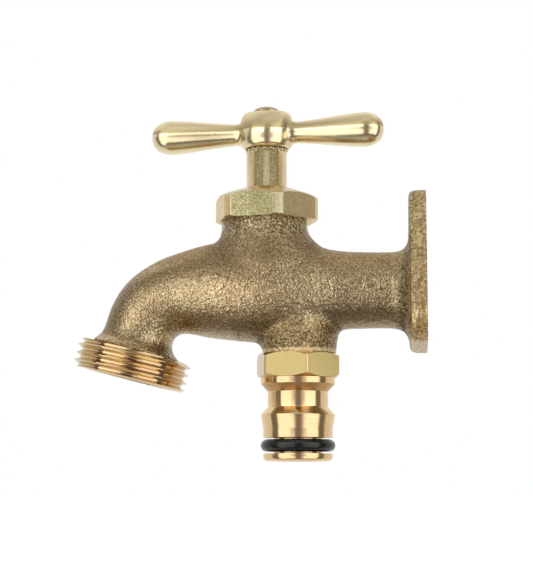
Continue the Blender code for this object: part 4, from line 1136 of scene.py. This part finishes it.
def build_connector():
    first = math.radians(-74.4 - 30.0)
    rule = hexed(17.3, first, 9.84, 0.06)
    hex_top, hex_bottom = BOSS_FACE_Z - 0.04, -19.9
    hexagon = eased(
        (
            (7.0, hex_bottom + 1.6),
            (7.0, hex_bottom),
            (8.55, hex_bottom, 0.05),
            (9.9, hex_bottom + 0.84, 0.1),
            (9.9, hex_top - 0.84, 0.1),
            (8.55, hex_top, 0.05),
            (6.0, hex_top),
            (6.0, hex_top - 1.5),
        ),
        0.0,
    )
    part = temp("connector", turned(dense(hexagon, 0.13), 360, False, lambda a, r, z: rule(a, r, z) if r > 7.9 else r, first))
    spigot = eased(
        (
            (5.2, -38.8, 0.08),
            (6.83, -38.8, 0.15),
            (7.43, -38.64, 0.15),
            (7.8, -38.3, 0.15),
            (7.93, -37.8, 0.15),
            (7.93, -37.03, 0.07),
            (5.6, -37.03, 0.1),
            (5.6, -33.45, 0.1),
            (7.93, -33.45, 0.07),
            (7.93, -31.4, 0.1),
            (8.5, -28.25, 0.1),
            (6.88, -26.5, 0.12),
            (6.88, -23.0, 0.12),
            (8.5, -21.25, 0.1),
            (8.5, -19.6, 0.0),
            (6.2, -18.6, 0.0),
            (6.2, -14.9, 0.0),
            (5.98, -14.6, 0.0),
            (5.98, -13.6, 0.0),
            (6.58, -13.1, 0.0),
            (6.58, -9.8, 0.05),
            (6.08, -9.3, 0.05),
            (4.6, -9.3, 0.05),
            (4.6, -38.2, 0.1),
        ),
        0.1,
        closed=True,
        steps=4,
    )
    boolean(part, turned(((0.0, -19.0), (5.9, -19.0), (5.9, -14.3), (0.0, -14.3)), 64), "UNION")
    boolean(part, turned(((5.4, -20.5), (5.4, -12.0)), 64), "DIFFERENCE")
    boolean(part, turned(spigot, 192, True), "UNION")
    mesh = part.data
    for poly in mesh.polygons:
        x, y, z = poly.center
        off = (math.atan2(y, x) - first + math.pi / 6.0) % (math.pi / 3.0) - math.pi / 6.0
        side = math.hypot(x, y) * math.cos(off) > 8.6 and abs(poly.normal.z) < 0.2
        poly.material_index = 1 if side and hex_bottom < z < hex_top else 0
    part.data.transform(Matrix.Translation((INLET_X, 0.0, 0.0)))
    return finish_piece(
        part, "push_fit_connector", "tap_body", ["hose_connector"], [CONNECTOR_BRASS, HEX_BRASS], 28.0
    )


def build_o_ring():
    section = [
        (7.2 + 1.3 * math.cos(2 * math.pi * k / 40), -35.2 + 1.37 * math.sin(2 * math.pi * k / 40)) for k in range(40)
    ]
    ring = temp("ring", placed(turned(section, 160, True), x=INLET_X))
    return finish_piece(ring, "black_o_ring", "tap_body", ["connector_o_ring"], [SEAL_RUBBER], 60.0)


build_body()
build_nut()
build_spindle()
build_handle()
build_screw()
build_connector()
build_o_ring()

for node, material in (
    ("gland_follower", HIDDEN_BRASS),
    ("packing_washer", HIDDEN_BRASS),
    ("packing_ring", PACKING_FIBRE),
    ("jumper", HIDDEN_BRASS),
    ("jumper_retaining_ring", SCREW_BRASS),
    ("washer_nut", HIDDEN_BRASS),
    ("seat_washer", SEAL_RUBBER),
    ("connector_gasket", GASKET_FIBRE),
):
    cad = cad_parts[node]
    for index in range(max(1, len(cad.material_slots))):
        if index < len(cad.material_slots):
            cad.material_slots[index].material = material
        else:
            cad.data.materials.append(material)

# ------------------------------------------------------------------ camera

AZIMUTH, ELEVATION = math.radians(5.0), math.radians(-6.6)
TARGET = Vector((-36.738, 0.0, 1.484)) * MM
TOWARDS = Vector(
    (math.sin(AZIMUTH) * math.cos(ELEVATION), -math.cos(AZIMUTH) * math.cos(ELEVATION), math.sin(ELEVATION))
)
camera_data = bpy.data.cameras.new("camera")
camera_data.sensor_width = 36.0
camera_data.lens = 36.0 * 1700.0 / 571.0
camera_data.clip_start, camera_data.clip_end = 0.01, 150.0
camera = bpy.data.objects.new("camera", camera_data)
bpy.context.scene.collection.objects.link(camera)
camera.location = TARGET + TOWARDS * 0.391
camera.rotation_mode = "QUATERNION"
camera.rotation_quaternion = (-TOWARDS).to_track_quat("-Z", "Y")
bpy.context.scene.camera = camera

# ------------------------------------------------------------------ studio


def studio():
    """A pale studio: two large soft boxes beside the camera, a dark gap between them, soft light above."""
    world = bpy.data.worlds.new("studio")
    bpy.context.scene.world = world
    world.use_nodes = True
    tree = world.node_tree
    tree.nodes.clear()
    coords = tree.nodes.new("ShaderNodeTexCoord")
    turn = tree.nodes.new("ShaderNodeVectorRotate")
    turn.rotation_type = "Z_AXIS"
    put(turn, "Vector", coords.outputs["Generated"])
    put(turn, "Angle", -AZIMUTH)
    split = tree.nodes.new("ShaderNodeSeparateXYZ")
    put(split, 0, turn.outputs[0])
    x, y, z = split.outputs
    across = calc(tree, "ABSOLUTE", calc(tree, "ARCTAN2", x, calc(tree, "MULTIPLY", y, -1.0)))
    round_ = calc(tree, "DIVIDE", across, math.pi)  # 0 at the camera, 1 behind the tap
    up = calc(tree, "MULTIPLY", calc(tree, "ARCSINE", z), 180.0 / math.pi)
    d = 1.0 / 180.0
    degrees = calc(tree, "MULTIPLY", across, 180.0 / math.pi)
    left = calc(tree, "LESS_THAN", x, 0.0)
    # the gap at the camera is widest at camera height, the dark edge beyond the soft boxes reaches further low down
    low_band = remap(tree, calc(tree, "ABSOLUTE", calc(tree, "SUBTRACT", up, 1.0)), 4.0, 11.0, 1.0, 0.0)
    gap = calc(tree, "MULTIPLY_ADD", low_band, 10.0, 17.5)
    gap = calc(tree, "SUBTRACT", gap, calc(tree, "MULTIPLY", calc(tree, "MULTIPLY", left, 5.5), calc(tree, "SUBTRACT", 1.0, low_band)))
    rim = calc(tree, "MULTIPLY_ADD", calc(tree, "MULTIPLY", left, remap(tree, up, 4.0, 9.0)), -13.0, 95.0)
    core = ramp(
        tree,
        calc(tree, "DIVIDE", degrees, 90.0),
        ((0.0, (0.24, 0.20, 0.19)), (9 / 90, (0.26, 0.22, 0.21)), (14 / 90, (0.66, 0.60, 0.58)), (22 / 90, (0.68, 0.63, 0.60)), (30 / 90, (0.50, 0.46, 0.42))),
    )
    backdrop = ramp(tree, round_, ((90 * d, (0.70, 0.67, 0.64)), (1.0, (0.95, 0.94, 0.93))))
    dark = (0.19, 0.175, 0.15)
    box_light = blend(tree, remap(tree, up, 5.0, 14.0), (1.38, 1.36, 1.33), (1.85, 1.83, 1.79))
    middle = blend(tree, remap(tree, calc(tree, "SUBTRACT", degrees, gap), -1.5, 1.5), core, box_light)
    middle = blend(tree, remap(tree, degrees, 67.5, 71.0), middle, dark)
    middle = blend(tree, remap(tree, calc(tree, "SUBTRACT", degrees, rim), -2.5, 2.5), middle, backdrop)
    above = ramp(
        tree,
        round_,
        ((0.0, (0.93, 0.91, 0.88)), (25 * d, (0.93, 0.91, 0.88)), (38 * d, (0.68, 0.66, 0.63)), (75 * d, (0.60, 0.58, 0.56)), (98 * d, (0.85, 0.84, 0.83)), (1.0, (0.92, 0.91, 0.90))),
    )
    # below: a dark strip under the boxes, then the pale table top, paler further back
    table = ramp(
        tree,
        calc(tree, "DIVIDE", calc(tree, "MULTIPLY", up, -1.0), 90.0),
        ((0.0, (0.13, 0.11, 0.09)), (46 / 90, (0.14, 0.12, 0.10)), (58 / 90, (0.36, 0.34, 0.31)), (76 / 90, (0.52, 0.50, 0.47)), (1.0, (0.62, 0.60, 0.57))),
    )
    below = blend(tree, remap(tree, y, -0.15, 0.3), table, (0.82, 0.80, 0.78))
    light = blend(tree, remap(tree, up, 37.5, 40.5), middle, above)
    light = blend(tree, remap(tree, up, 62.0, 80.0), light, (0.57, 0.545, 0.51))
    # the left box hangs lower at its far side
    edge = calc(tree, "MULTIPLY_ADD", calc(tree, "MULTIPLY", left, remap(tree, degrees, 34.0, 60.0)), -11.0, -38.8)
    light = blend(tree, remap(tree, calc(tree, "SUBTRACT", up, edge), 2.0, -2.0), light, below)
    path = tree.nodes.new("ShaderNodeLightPath")
    light = blend(tree, path.outputs["Is Camera Ray"], light, (1.0, 1.0, 1.0))
    back = tree.nodes.new("ShaderNodeBackground")
    put(back, "Color", light)
    put(back, "Strength", 1.0)
    out = tree.nodes.new("ShaderNodeOutputWorld")
    tree.links.new(back.outputs[0], out.inputs[0])
    world.cycles.sampling_method = "MANUAL"
    world.cycles.sample_map_resolution = 512


studio()

floor_mesh = bpy.data.meshes.new("floor")
bm = bmesh.new()
bmesh.ops.create_grid(bm, x_segments=8, y_segments=8, size=50.0)
bm.to_mesh(floor_mesh)
bm.free()
floor = bpy.data.objects.new("floor", floor_mesh)
bpy.context.scene.collection.objects.link(floor)
floor.location = (0.0, 0.0, -0.32)
floor.visible_glossy = False
floor.visible_diffuse = False
floor_material, tree, shader = start_material("pale_floor")
put(shader, "Base Color", (0.82, 0.82, 0.82))
put(shader, "Roughness", 0.9)
put(shader, "Specular IOR Level", 0.1)
put(shader, "Emission Color", (1.0, 1.0, 1.0))
put(shader, "Emission Strength", 0.46)
floor_mesh.materials.append(floor_material)

bpy.context.scene.view_settings.view_transform = "Standard"
bpy.context.scene.view_settings.look = "None"
bpy.context.scene.view_settings.exposure = 0.0
